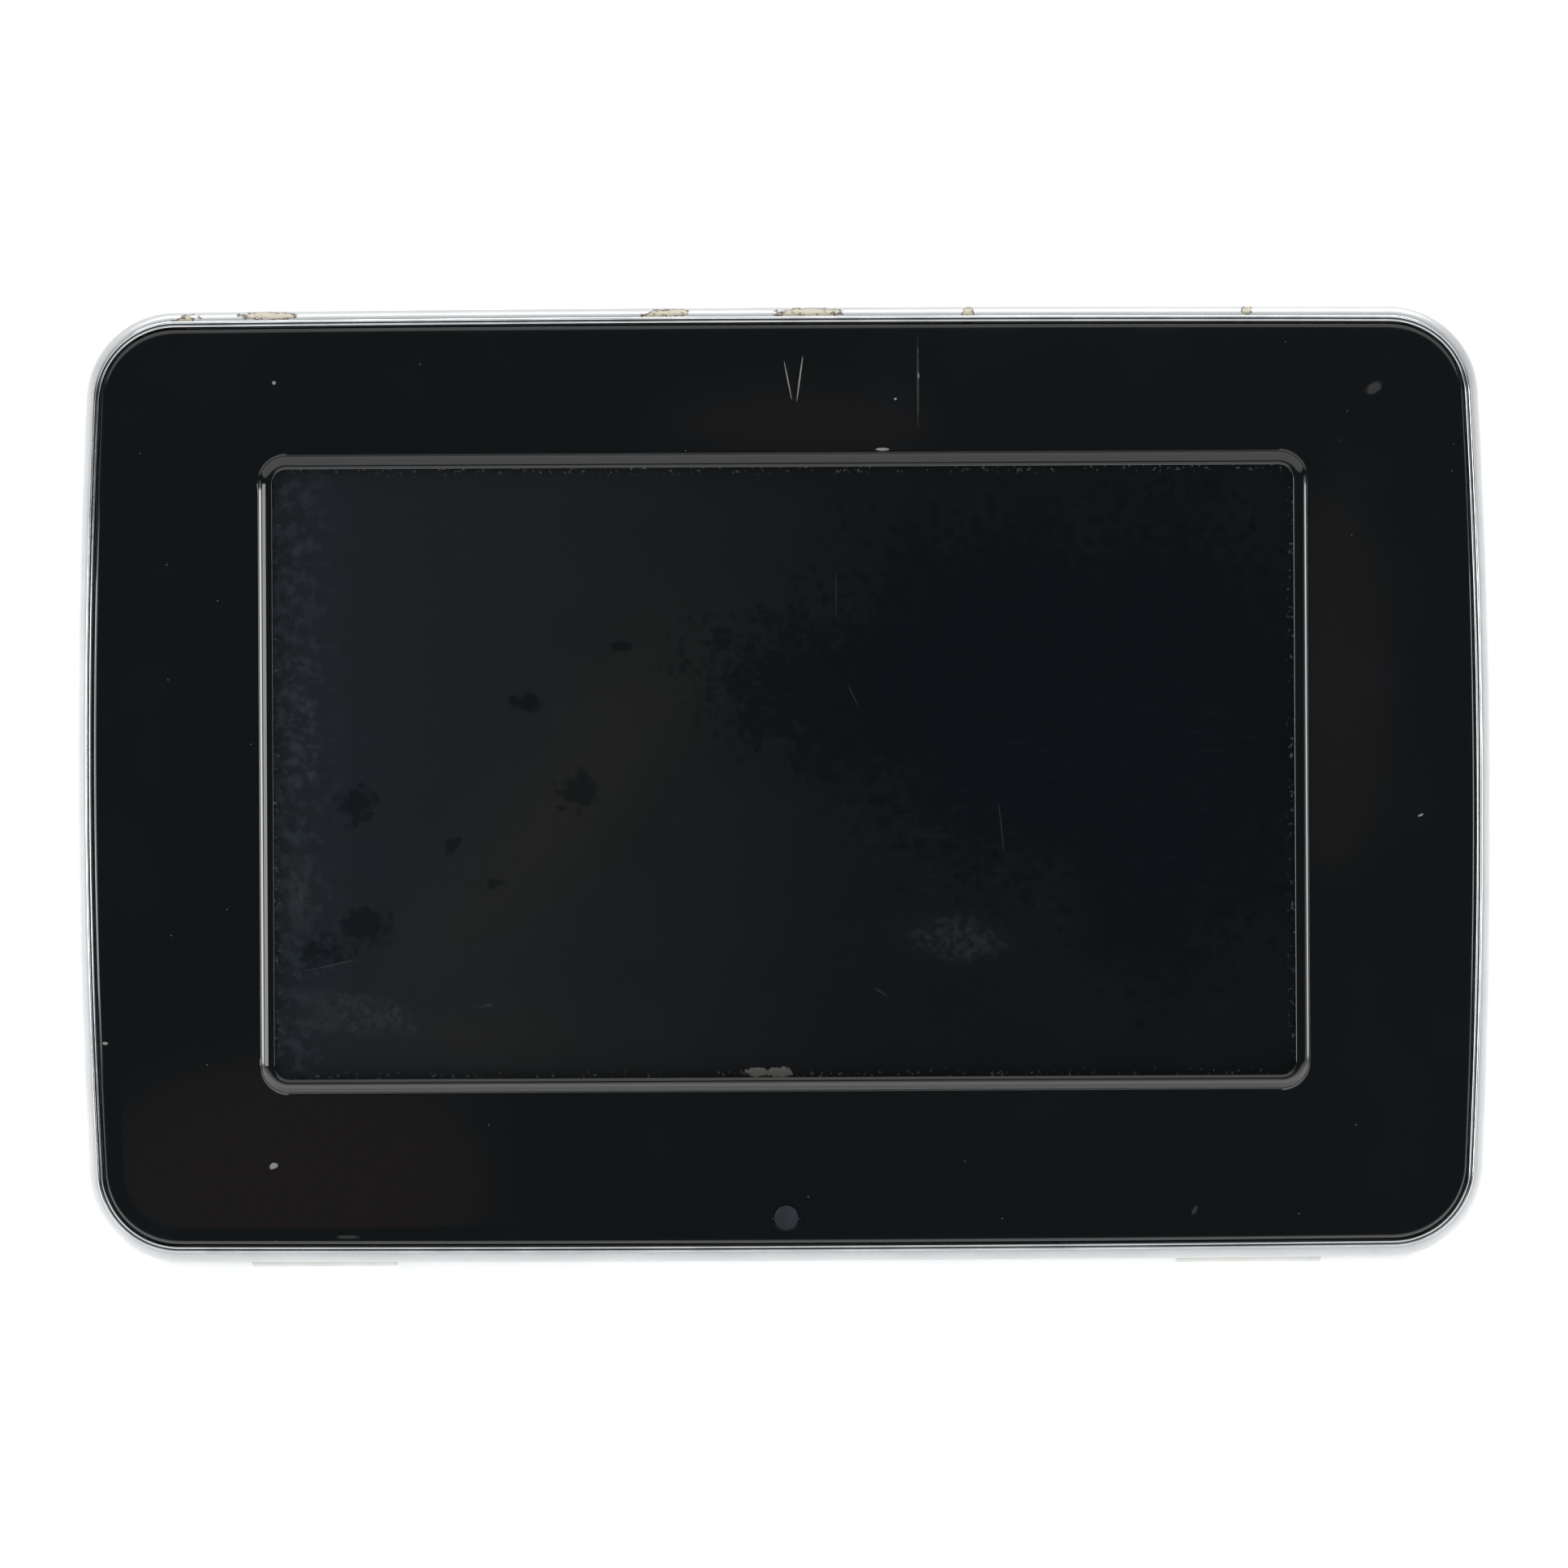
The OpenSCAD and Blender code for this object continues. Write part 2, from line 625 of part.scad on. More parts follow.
module rear_cover() leaned() color("#222427") difference() {
    union() {
        difference() {
            cover_shape(cover_inset, cover_y, cover_back, 4, 3.6);
            difference() {
                cover_shape(flange_in, cover_y - past, cover_in_y, 2.4, 2.2);
                well(pocket_gap + wall, pocket_floor - wall, cover_back);
                for (s = [-1, 1]) block([s * (leg_half(0) + pocket_gap + knuckle_w / 2 - 0.5),
                    hinge_rise], [knuckle_w + 1, 9], pocket_floor - wall, cover_back);
                for (at = cover_bosses) bar(at, cover_boss_r + 0.6, cover_y, cover_back);
                for (s = [-1, 1]) difference() {
                    bar([s * speaker_at.x, speaker_at.y], speaker_r + speaker_gap + speaker_ring,
                        cover_in_y - 3, cover_back);
                    bar([s * speaker_at.x, speaker_at.y], speaker_r + speaker_gap,
                        cover_in_y - 4, cover_in_y);
                }
            }
        }
        difference() {
            slab(lip_front, lip_back) polygon(outline(lip_in));
            slab(lip_front - past, lip_back + past) polygon(outline(lip_in + lip_t));
        }
        difference() {
            slab(cover_y, lip_back) polygon(outline(flange_in - 0.5));
            slab(cover_y - past, lip_back + past) polygon(outline(lip_in + 0.5));
        }
    }
    well(pocket_gap, pocket_floor, cover_back + past);
    rod(-leg_half(0) - pocket_gap - 4.5, leg_half(0) + pocket_gap + knuckle_w + past,
        hinge_y, hinge_rise, pin_r + 0.01);
    for (at = cover_bosses) {
        bar(at, cover_screw_r + 0.15, cover_y - past, cover_back);
        bar(at, 2.6, cover_y + 2.5, cover_back + past);
    }
    for (at = round_keys) bar(at, key_r + key_gap, cover_in_y - past, cover_back + past);
    bar(pad_at, enter_r + key_gap, cover_in_y - past, cover_back + past);
    for (s = [-1, 1]) {
        speaker_slots(s);
        keyhole(s);
    }
    for (i = [0:8]) slot([-62, 4 * i], 30, 1.8);
    port(usb_z, usb_w, usb_t);
    port(mini_z, mini_w, mini_t);
    port(card_z, card_w, card_t);
    rod(94, 104, jack_y, jack_z, jack_r + 0.3);
}

// Hole in the right side wall round a socket of width w and thickness t
module port(z, w, t)
    block([98, z], [12, w + 2 * port_gap], board_back - 0.3, board_back + t + port_gap);

// Slot through the back with round ends
module slot(at, length, width) slab(cover_in_y - past, cover_back + past) translate(at) {
    square([length - width, width], center = true);
    for (s = [-1, 1]) translate([s * (length - width) / 2, 0]) circle(width / 2);
}

// Slots over a speaker, longest in the middle of its circle
module speaker_slots(side) for (i = [-4:4])
    slot([speaker_at.x * side, speaker_at.y + 2.5 * i], 2 * sqrt(11.8 * 11.8 - 6.25 * i * i), 1.3);

// Keyhole for a wall screw: a round entry below a narrow slot
module keyhole(side) {
    at = [keyhole_x * side, keyhole_z];
    bar(at, keyhole_r, cover_in_y - past, cover_back + past);
    bar(at + [0, keyhole_rise], keyhole_slot_r, cover_in_y - past, cover_back + past);
    block(at + [0, keyhole_rise / 2], [2 * keyhole_slot_r, keyhole_rise], cover_in_y - past,
        cover_back + past);
}

module cover_screws() leaned() color("#4c4f52")
    for (at = cover_bosses) pan_screw(at, cover_screw_r, 2.3, 5.4, cover_y + 2.51, 1.7);

// ---------- stand ----------

module hinge_pin() leaned() color("#b9bcbf")
    rod(-leg_half(0) - pocket_gap - 4.4, leg_half(0) + pocket_gap + 4.4, hinge_y, hinge_rise,
        pin_r);

module hinge_washers() leaned() color("#e9e6dc") for (x = [-washer_x, washer_x]) difference() {
    rod(x - washer_t / 2, x + washer_t / 2, hinge_y, hinge_rise, barrel_r - 0.2);
    rod(x - washer_t, x + washer_t, hinge_y, hinge_rise, pin_r + 0.03);
}

module stand_leg() leaned() opened() color("#1f2124") difference() {
    union() {
        slab(leg_y0, leg_y1) leg_plan(0, pad_start, 0);
        rod(-leg_half(0), leg_half(0), hinge_y, hinge_rise, barrel_r);
        translate([-leg_half(0), hinge_y - heel_in, hinge_rise])
            cube([leg_top_w, leg_t / 2 + heel_in, heel_h]);
        slab(hinge_y - 0.8, hinge_y + 0.8) leg_plan(pad_start - past, pad_start + 4, 3);
    }
    rod(-leg_half(0) - past, leg_half(0) + past, hinge_y, hinge_rise, pin_r + 0.03);
    for (s = [-1, 1]) slab(leg_y0 - past, hinge_y + 0.6) polygon([
        [s * 1.5, hinge_rise - 8], [s * (leg_half(8) - 2.5), hinge_rise - 8],
        [s * (leg_half(70) - 2.5), hinge_rise - 70], [s * 1.5, hinge_rise - 70]]);
}

// The leg seen from behind, between two distances from the hinge, drawn in by d at each side
module leg_plan(l0, l1, d) polygon([[-leg_half(l0) + d, hinge_rise - l0],
    [leg_half(l0) - d, hinge_rise - l0], [leg_half(l1) - d, hinge_rise - l1],
    [-leg_half(l1) + d, hinge_rise - l1]]);

// Rubber cap whose end is cut to lie flat on the table when the leg is open
module stand_foot_pad() leaned() opened() color("#121314") difference() {
    translate([0, hinge_y, hinge_rise]) rotate([90, 0, 90])
        linear_extrude(leg_foot_w - 0.8, center = true) polygon([
            [-leg_t / 2, -pad_start - 0.02], [-leg_t / 2, -pad_end(-leg_t / 2)],
            [leg_t / 2, -pad_end(leg_t / 2)], [leg_t / 2, -pad_start - 0.02]]);
    slab(hinge_y - 0.85, hinge_y + 0.85) leg_plan(pad_start - past, pad_start + 4.05, 2.95);
}

// Length of the leg to the table at a distance u behind its middle plane
function pad_end(u) = (hinge_h + u * sin(leg_slope)) / cos(leg_slope);

// ---------- front feet ----------

// Section of a rubber foot; its lower rear edge lies flat on the table
function foot_section() = [[foot_back.x - 4.5, foot_back.y + 0.6], [foot_back.x, foot_back.y + 0.6],
    foot_back, foot_tip, [foot_tip.x - 1.6, foot_tip.y], [foot_back.x - 4.5, foot_back.y - 0.15]];

module foot(side) leaned() color("#c9cac6") translate([foot_at * side, 0, 0])
    rotate([90, 0, 90]) linear_extrude(foot_len, center = true) polygon(foot_section());

// Recess in the band that the foot is glued into
module foot_recess(side) block([foot_at * side, foot_back.y - 1.38], [foot_len + 0.1, 4],
    foot_back.x - 4.55, band_back + past);

module foot_left() foot(-1);
module foot_right() foot(1);

// ---------- keys ----------

// Round cap with a collar inside the cover and a stem over its switch
module key(at, r) leaned() color("#2b2d30") {
    bar(at, r, cover_in_y - 0.5, cover_back + key_proud);
    bar(at, r + 0.9, cover_in_y - 0.95, cover_in_y - 0.15);
    bar(at, 1.5, board_back + 5.6, cover_in_y - 0.5);
}

module key_power() key(power_at, key_r);
module key_menu() key(menu_at, key_r);
module key_up() key(arrow_up, key_r);
module key_down() key(arrow_down, key_r);
module key_left() key(arrow_left, key_r);
module key_right() key(arrow_right, key_r);
module key_enter() key(pad_at, enter_r);

front_bezel();
trim_ring();
housing_band();
lcd_panel();
lcd_metal_frame();
backlight();
lcd_flex();
screen_gasket();
sensor_window();
ir_receiver();
receiver_wires();
chassis_plate();
chassis_screws();
board_standoffs();
main_board();
board_screws();
processor();
memory_chips();
flash_chip();
crystal();
inductors();
capacitors();
smd_parts();
lcd_connector();
wire_connectors();
tact_switches();
card_socket();
usb_socket();
mini_usb_socket();
power_jack();
coin_cell();
coin_cell_holder();
speaker_frame_left();
speaker_frame_right();
speaker_cone_left();
speaker_cone_right();
speaker_magnet_left();
speaker_magnet_right();
speaker_wires();
backlight_cable();
rear_cover();
cover_screws();
hinge_pin();
hinge_washers();
foot_left();
foot_right();
stand_leg();
stand_foot_pad();
key_power();
key_menu();
key_up();
key_down();
key_left();
key_right();
key_enter();
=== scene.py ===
"""Looks of a seven-inch digital photo frame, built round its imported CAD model.

Shapes are worked out in the body's own frame in millimetres: X to the right, Y from the face
to the back, Z up from the middle of the face. in_place() tips them back onto the table.
"""

import json
import math

import bmesh
import bpy
import numpy as np
from mathutils import Matrix, Vector


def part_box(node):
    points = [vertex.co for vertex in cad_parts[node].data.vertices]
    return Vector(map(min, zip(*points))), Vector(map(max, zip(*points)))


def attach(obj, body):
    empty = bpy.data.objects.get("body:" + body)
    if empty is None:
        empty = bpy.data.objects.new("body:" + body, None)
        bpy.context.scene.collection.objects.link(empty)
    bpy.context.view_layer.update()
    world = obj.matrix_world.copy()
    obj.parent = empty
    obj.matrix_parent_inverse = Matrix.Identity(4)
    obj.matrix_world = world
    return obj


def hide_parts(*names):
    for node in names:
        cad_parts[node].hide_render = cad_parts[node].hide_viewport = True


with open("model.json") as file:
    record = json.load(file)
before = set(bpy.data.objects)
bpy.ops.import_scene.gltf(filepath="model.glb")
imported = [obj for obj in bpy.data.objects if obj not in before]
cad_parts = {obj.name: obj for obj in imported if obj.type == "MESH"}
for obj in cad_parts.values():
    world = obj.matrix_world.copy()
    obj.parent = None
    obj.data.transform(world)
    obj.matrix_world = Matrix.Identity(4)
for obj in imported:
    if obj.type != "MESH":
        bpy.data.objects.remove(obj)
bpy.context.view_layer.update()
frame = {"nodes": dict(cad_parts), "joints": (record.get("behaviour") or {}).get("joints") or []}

# ---------- sizes, in millimetres ----------

# A name in _W, _H, _L or _R is a width, height, length or radius, one in _IN is how far inwards
# from the body's outline, and one in _Y, _FRONT, _BACK, _FOOT or _TOP is a depth behind the face
MM = 0.001
BODY_W, BODY_H = 213.9, 144.2
CORNER_R, SIDE_BOW, TOP_BOW = 14, 1.45, 0.3
WINDOW_W, WINDOW_H, WINDOW_RISE, WINDOW_R = 154, 92, 1.8, 2.2
BEAD_W, BEAD_H, BEAD_FILLET, BEAD_ROUND, BEAD_EDGE, BEAD_TILT = 2.1, 1.05, 0.06, 1.6, 0.1, 0.05
SILVER_W, TRIM_W, TRIM_GAP, TRIM_SLOT, TRIM_DEEP = 1.5, 1.0, 0.25, 0.13, 1.4
TRIM_FRONT, TRIM_RISE, TRIM_FOOT = 0.2, 0.3, 2.98
TRIM_IN = SILVER_W + TRIM_W
BEZEL_IN = TRIM_IN + TRIM_GAP
WALL = 2
FACE_T, LIP_Y, SKIRT_BACK = 2.4, 1.2, 11.45
POCKET_OVER, POCKET_BESIDE = 4.3, 5.75
FACE_FALL, FALL_W, EDGE_W, EDGE_DEPTH = 0.04, 3.0, 0.5, 0.6
BAND_FRONT, BAND_NOSE, BAND_FLANK, BAND_BACK, BAND_REAR_IN = 0.8, 4.2, 10, 13, 0.9
BAND_WALL_IN, FLANGE_Y, FLANGE_IN, TRIM_SEAT = BEZEL_IN - 0.2, 11.5, 8, 3
SENSOR_R, SENSOR_DROP, SENSOR_FLARE = 1.825, 65.4, 0.14
GLASS_MIDDLE_Y = 3.0
FOOT_X, FOOT_L, FOOT_W, FOOT_LET_IN, SLACK = 70, 22, 4.5, 0.52, 0.05
COVER_BACK = 25.2
KEY_R, ENTER_R, KEY_PITCH, KEY_PROUD = 4, 4.5, 12.5, 0.8
KEY_TOP = COVER_BACK + KEY_PROUD
STEM_R, STEM_FOOT, COLLAR_W, COLLAR_FOOT, COLLAR_TOP = 1.5, 19.2, 0.9, 22.25, 23.05
KEY_ROUND, KEY_RIM, KEY_DISH, MARK_R, MARK_EDGE = 0.5, 0.55, 0.28, 1.15, 0.07
PAD_AT, MENU_AT, POWER_AT = np.array([44, 10]), np.array([33, 32]), np.array([55, 32])

# The key joints slide square to the face, which gives the body's lean
slide = next(j for j in frame["joints"] if j["name"] == "key_enter_press")["axis"]
LEAN = math.atan2(slide[2], -slide[1])
TIP = Matrix.Rotation(-LEAN, 4, "X")

# The middle of the glass fixes where the middle of the face is
low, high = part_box("lcd_panel")
FACE = (low + high) / 2 - TIP @ Vector((0, GLASS_MIDDLE_Y, WINDOW_RISE)) * MM


def in_place(points):
    """Body millimetres to metres on the table: turned by the lean about X, scaled, then moved."""
    leaned = points @ np.array(TIP.to_3x3()).T
    return leaned * MM + np.array(FACE)


# ---------- outlines ----------


def arc(centre, radius, start, end, steps):
    """Points centre + radius (cos a, sin a), a going evenly from start up to, not with, end."""
    a = np.radians(np.linspace(start, end, steps, endpoint=False))
    return np.array(centre) + radius * np.stack([np.cos(a), np.sin(a)], 1)


BOW_STEPS, CORNER_STEPS = 36, 22
CORNER_X = BODY_W / 2 - SIDE_BOW - CORNER_R
CORNER_Z = BODY_H / 2 - TOP_BOW - CORNER_R


def bow(reach, across):
    """Radius of the large arc at distance reach that runs smoothly into the corner arc."""
    return (reach**2 + across**2 - CORNER_R**2) / (2 * (reach - CORNER_R))


SIDE_R = bow(BODY_W / 2 - CORNER_X, CORNER_Z)
TOP_R = bow(BODY_H / 2 - CORNER_Z, CORNER_X)
SIDE_C, TOP_C = BODY_W / 2 - SIDE_R, BODY_H / 2 - TOP_R
SIDE_TURN = math.degrees(math.atan2(CORNER_Z, CORNER_X - SIDE_C))
TOP_TURN = math.degrees(math.atan2(CORNER_X, CORNER_Z - TOP_C))


def body_outline(inset):
    """The body's outline moved inwards: four bows and four corner arcs, anticlockwise."""
    side, top, r = SIDE_R - inset, TOP_R - inset, CORNER_R - inset
    s, t, b, c = SIDE_TURN, TOP_TURN, BOW_STEPS, CORNER_STEPS
    return np.concatenate([
        arc((SIDE_C, 0), side, -s, s, b), arc((CORNER_X, CORNER_Z), r, s, 90 - t, c),
        arc((0, TOP_C), top, 90 - t, 90 + t, b), arc((-CORNER_X, CORNER_Z), r, 90 + t, 180 - s, c),
        arc((-SIDE_C, 0), side, 180 - s, 180 + s, b),
        arc((-CORNER_X, -CORNER_Z), r, 180 + s, 270 - t, c),
        arc((0, -TOP_C), top, 270 - t, 270 + t, b),
        arc((CORNER_X, -CORNER_Z), r, 270 + t, 360 - s, c)])


def window_outline(out):
    """The window's outline moved outwards: four straight sides and four corner arcs."""
    x, z, r = WINDOW_W / 2 - WINDOW_R, WINDOW_H / 2 - WINDOW_R, WINDOW_R + out
    along = np.linspace(0, 1, BOW_STEPS, endpoint=False)[:, None]
    parts = []
    for k, (cx, cz) in enumerate([(x, z), (-x, z), (-x, -z), (x, -z)]):
        a = math.radians(90 * k)
        edge = r * np.array([math.cos(a), math.sin(a)])
        before = np.array([(x, -z), (x, z), (-x, z), (-x, -z)][k])
        parts += [before + edge + along * (np.array([cx, cz]) - before),
                  arc((cx, cz), r, 90 * k, 90 * k + 90, CORNER_STEPS)]
    return np.concatenate(parts) + [0, WINDOW_RISE]


def ring(outline, depth):
    """A flat outline of (x, z) stood up at a depth."""
    return np.stack([outline[:, 0], np.full(len(outline), float(depth)), outline[:, 1]], 1)


# ---------- meshes ----------

# Corners closer than WELD mm are one, faces within FLAT degrees are one, and edges that turn by
# more than EDGE degrees are rounded. Edges over SHARP degrees are shaded sharp
WELD, FLAT, EDGE, SHARP = 0.002, 0.4, 38, 40


def quads(rows, columns, closed):
    """Corner numbers of a grid's quads. Its columns close into a ring, and its rows too if
    closed."""
    i = np.arange(rows if closed else rows - 1)[:, None]
    j = np.arange(columns)[None]
    after, beside = (i + 1) % rows * columns, (j + 1) % columns
    corners = np.stack(np.broadcast_arrays(
        i * columns + j, i * columns + beside, after + beside, after + j), -1)
    return corners.reshape(-1, 4)


def outward(points, faces):
    """The faces, turned round if the volume they enclose comes out negative: the sum over
    triangles of corner . (corner x corner) / 6."""
    p = points - points.mean(0)
    a, b, c, d = (p[faces[:, k]] for k in range(4))
    volume = np.einsum("ij,ij", a, np.cross(b, c)) + np.einsum("ij,ij", a, np.cross(c, d))
    return faces if volume > 0 else faces[:, ::-1]


def piece(name, points, faces, sharp=SHARP):
    """A new object from body millimetres, welded, smooth except at edges over sharp degrees."""
    mesh = bpy.data.meshes.new(name)
    mesh.from_pydata(in_place(points).tolist(), [], outward(points, faces).tolist())
    shape = bmesh.new()
    shape.from_mesh(mesh)
    bmesh.ops.remove_doubles(shape, verts=shape.verts, dist=WELD / 4 * MM)
    shape.to_mesh(mesh)
    shape.free()
    return shown(name, mesh, sharp)


def shown(name, mesh, sharp):
    """Puts a mesh in the scene, smooth except at edges over sharp degrees."""
    mesh.shade_smooth()
    mesh.set_sharp_from_angle(angle=math.radians(sharp))
    made = bpy.data.objects.new(name, mesh)
    bpy.context.scene.collection.objects.link(made)
    return made


def swept(name, rings, closed=True, sharp=SHARP):
    """Surface through rings of equal length; closed joins the last ring to the first."""
    return piece(name, np.concatenate(rings), quads(len(rings), len(rings[0]), closed), sharp)


def turned(name, at, profile, steps=72, start=0.0, sharp=SHARP):
    """Surface of revolution about the depth line through (x, z): each (radius, depth) pair of
    the profile goes round at radius (cos a, sin a). The profile starts and ends on the axis."""
    a = np.radians(np.linspace(0, 360, steps, endpoint=False) + start)
    r, y = np.array(profile, float).T[:, :, None]
    grid = np.stack(np.broadcast_arrays(at[0] + r * np.cos(a), y, at[1] + r * np.sin(a)), -1)
    return piece(name, grid.reshape(-1, 3), quads(len(profile), steps, False), sharp)


def rounded_off(r, y, edge, steps=6):
    """Profile points of a quarter circle of radius edge between a side at r and a top at y."""
    a = np.linspace(0, math.pi / 2, steps)
    return list(zip(r - edge + edge * np.cos(a), y - edge + edge * np.sin(a)))


def finished(node, edge, name=None, segments=2, sharp=SHARP):
    """A welded copy of a CAD node's mesh with flat faces joined and edges rounded by edge mm."""
    shape = bmesh.new()
    shape.from_mesh(frame["nodes"][node].data)
    bmesh.ops.remove_doubles(shape, verts=shape.verts, dist=WELD * MM)
    bmesh.ops.dissolve_degenerate(shape, edges=shape.edges, dist=WELD / 2 * MM)
    bmesh.ops.dissolve_limit(shape, angle_limit=math.radians(FLAT), verts=shape.verts,
                             edges=shape.edges)
    if edge:
        corners = [e for e in shape.edges
                   if e.is_manifold and e.calc_face_angle(0) > math.radians(EDGE)]
        bmesh.ops.bevel(shape, geom=corners, offset=edge * MM, offset_type="OFFSET",
                        segments=segments, profile=0.5, affect="EDGES", clamp_overlap=True)
    mesh = bpy.data.meshes.new(name or node + "_finished")
    shape.to_mesh(mesh)
    shape.free()
    if "custom_normal" in mesh.attributes:
        mesh.attributes.remove(mesh.attributes["custom_normal"])
    return shown(mesh.name, mesh, sharp)


def cut(target, *cutters):
    """Takes the cutters' solids out of the target's mesh and removes the cutters."""
    for tool in cutters:
        step = target.modifiers.new("cut", "BOOLEAN")
        step.object, step.operation, step.solver = tool, "DIFFERENCE", "EXACT"
    bpy.context.view_layer.update()
    result = bpy.data.meshes.new_from_object(
        target.evaluated_get(bpy.context.evaluated_depsgraph_get()))
    target.modifiers.clear()
    target.data = result
    for tool in cutters:
        bpy.data.objects.remove(tool)
    result.set_sharp_from_angle(angle=math.radians(SHARP))
    return target


def brick(name, low, high):
    """A plain cutter block between two corners in body millimetres."""
    x0, y0, z0 = low
    x1, y1, z1 = high
    loop = np.array([(x0, z0), (x1, z0), (x1, z1), (x0, z1)], float)
    centre = np.repeat(loop.mean(0)[None], 4, 0)
    return swept(name, [ring(centre, y0), ring(loop, y0), ring(loop, y1), ring(centre, y1)], False)


# ---------- materials ----------

SMOOTH = {"interpolation_type": "SMOOTHSTEP"}


def srgb(code):
    """Linear colour of an sRGB hex value: ((c + 0.055) / 1.055) to the power 2.4 above 0.04045."""
    values = [int(code[i:i + 2], 16) / 255 for i in (1, 3, 5)]
    return [*(v / 12.92 if v <= 0.04045 else ((v + 0.055) / 1.055) ** 2.4 for v in values), 1]


def add(tree, kind, sockets, out=0, **settings):
    """Adds a node and gives back one of its outputs. Settings go on the node itself. Sockets, a
    list in order or a dict by name or number, each get a value or a link."""
    made = tree.nodes.new("ShaderNode" + kind)
    for key, value in settings.items():
        setattr(made, key, value)
    for key, value in (sockets if isinstance(sockets, dict) else dict(enumerate(sockets))).items():
        if isinstance(value, bpy.types.NodeSocket):
            tree.links.new(value, made.inputs[key])
        else:
            made.inputs[key].default_value = value
    return made.outputs[out]


def started(name, **sockets):
    """A new material's tree and shader, with constant sockets set on the shader itself."""
    made = bpy.data.materials.new(name)
    made.use_nodes = True
    surface = made.node_tree.nodes["Principled BSDF"]
    for key, value in sockets.items():
        surface.inputs[key.replace("_", " ")].default_value = value
    return made, made.node_tree, surface


def lead(tree, surface, colour, roughness, height, depth_mm):
    """Leads a colour, a roughness and bumps of depth_mm into the shader."""
    bump = add(tree, "Bump", {"Height": height, "Strength": 1.0, "Distance": depth_mm * MM})
    for value, socket in ((colour, "Base Color"), (roughness, "Roughness"), (bump, "Normal")):
        tree.links.new(value, surface.inputs[socket])


def body_place(tree):
    """Object coordinates turned into body millimetres, so that patterns keep to the face."""
    source = add(tree, "TexCoord", [], "Object")
    return add(tree, "Mapping", {"Vector": source, "Location": FACE, "Rotation": (-LEAN, 0, 0),
                                 "Scale": (MM, MM, MM)}, vector_type="TEXTURE")


def either(tree, *shares):
    """The share of ground that any of several marks takes: the greatest of their shares."""
    whole = shares[0]
    for share in shares[1:]:
        whole = add(tree, "Math", [whole, share], operation="MAXIMUM")
    return whole


def both(tree, *shares):
    """The share of ground where several marks fall together: the product of their shares."""
    whole = shares[0]
    for share in shares[1:]:
        whole = add(tree, "Math", [whole, share], operation="MULTIPLY")
    return whole


def coats(tree, base, *layers):
    """The base colour with each layer laid over it in turn. A layer is a colour and the shares
    whose product says how much of it lies where. Colours are sRGB hex values."""
    whole = srgb(base)
    for colour, *shares in layers:
        whole = add(tree, "Mix", {0: both(tree, *shares), 6: whole, 7: srgb(colour)}, 2,
                    data_type="RGBA")
    return whole


def cloudy(tree, place, size_mm, detail, low, high):
    """Clouds size_mm across: a share of 0 where the noise is under low, 1 where over high."""
    noise = add(tree, "TexNoise", {"Vector": place, "Scale": 1 / size_mm, "Detail": detail,
                                   "Roughness": 0.62})
    return add(tree, "MapRange", [noise, low, high], **SMOOTH)


def reach_of(tree, place, centre, size, turn, ragged, grain_mm, deep=(0.0, 1e6)):
    """How far out a place is in an ellipse on the face, 1 at its rim: the length of the place,
    moved, turned and divided by the half sizes, plus ragged times (noise - 1/2), in grains of
    grain_mm. The middle and half size in depth are deep, so far that depth makes no difference
    unless it is given."""
    near = add(tree, "Mapping", {
        "Vector": place, "Location": (centre[0], deep[0], centre[1]),
        "Rotation": (0, math.radians(-turn), 0), "Scale": (size[0], deep[1], size[1])},
        vector_type="TEXTURE")
    reach = add(tree, "VectorMath", [near], "Value", operation="LENGTH")
    noise = add(tree, "TexNoise", {"Vector": place, "Scale": 1 / grain_mm, "Detail": 5})
    inmost = add(tree, "Math", [reach, ragged / 2], operation="SUBTRACT")
    return add(tree, "Math", [noise, ragged, inmost], operation="MULTIPLY_ADD")


def spots(tree, place, shapes, ragged, grain_mm, soft):
    """1 inside any of several ellipses (centre, half sizes, turn), fading over soft at the rim."""
    whole = None
    for centre, size, turn in shapes:
        reach = reach_of(tree, place, centre, size, turn, ragged, grain_mm)
        share = add(tree, "MapRange", [reach, 1.0, 1.0 - soft], **SMOOTH)
        whole = share if whole is None else either(tree, whole, share)
    return whole


def specks(tree, place, spacing_mm, size_mm):
    """1 on sparse round specks: cells spacing_mm apart, each holding a dot of up to size_mm."""
    cell = {"Vector": place, "Scale": 1 / spacing_mm}
    size = add(tree, "Math", [add(tree, "TexVoronoi", cell, "Color"), size_mm / spacing_mm],
               operation="MULTIPLY")
    out = add(tree, "Math", [add(tree, "TexVoronoi", cell, "Distance"), size], operation="SUBTRACT")
    return add(tree, "MapRange", [out, 0.0, -0.01], **SMOOTH)


def grained(name, colour, other, patch_mm, roughness, spread, grain_mm, relief_mm, **sockets):
    """A plain finish: two near colours in clouds, a roughness that wanders with them by spread
    either way, and fine grain in relief."""
    made, tree, surface = started(name, **sockets)
    place = body_place(tree)
    cloud = cloudy(tree, place, patch_mm, 4, 0.3, 0.7)
    grain = add(tree, "TexNoise", {"Vector": place, "Scale": 1 / grain_mm, "Detail": 2})
    rough = add(tree, "MapRange", [cloud, 0, 1, roughness - spread, roughness + spread])
    lead(tree, surface, coats(tree, colour, (other, cloud)), rough, grain, relief_mm)
    return made


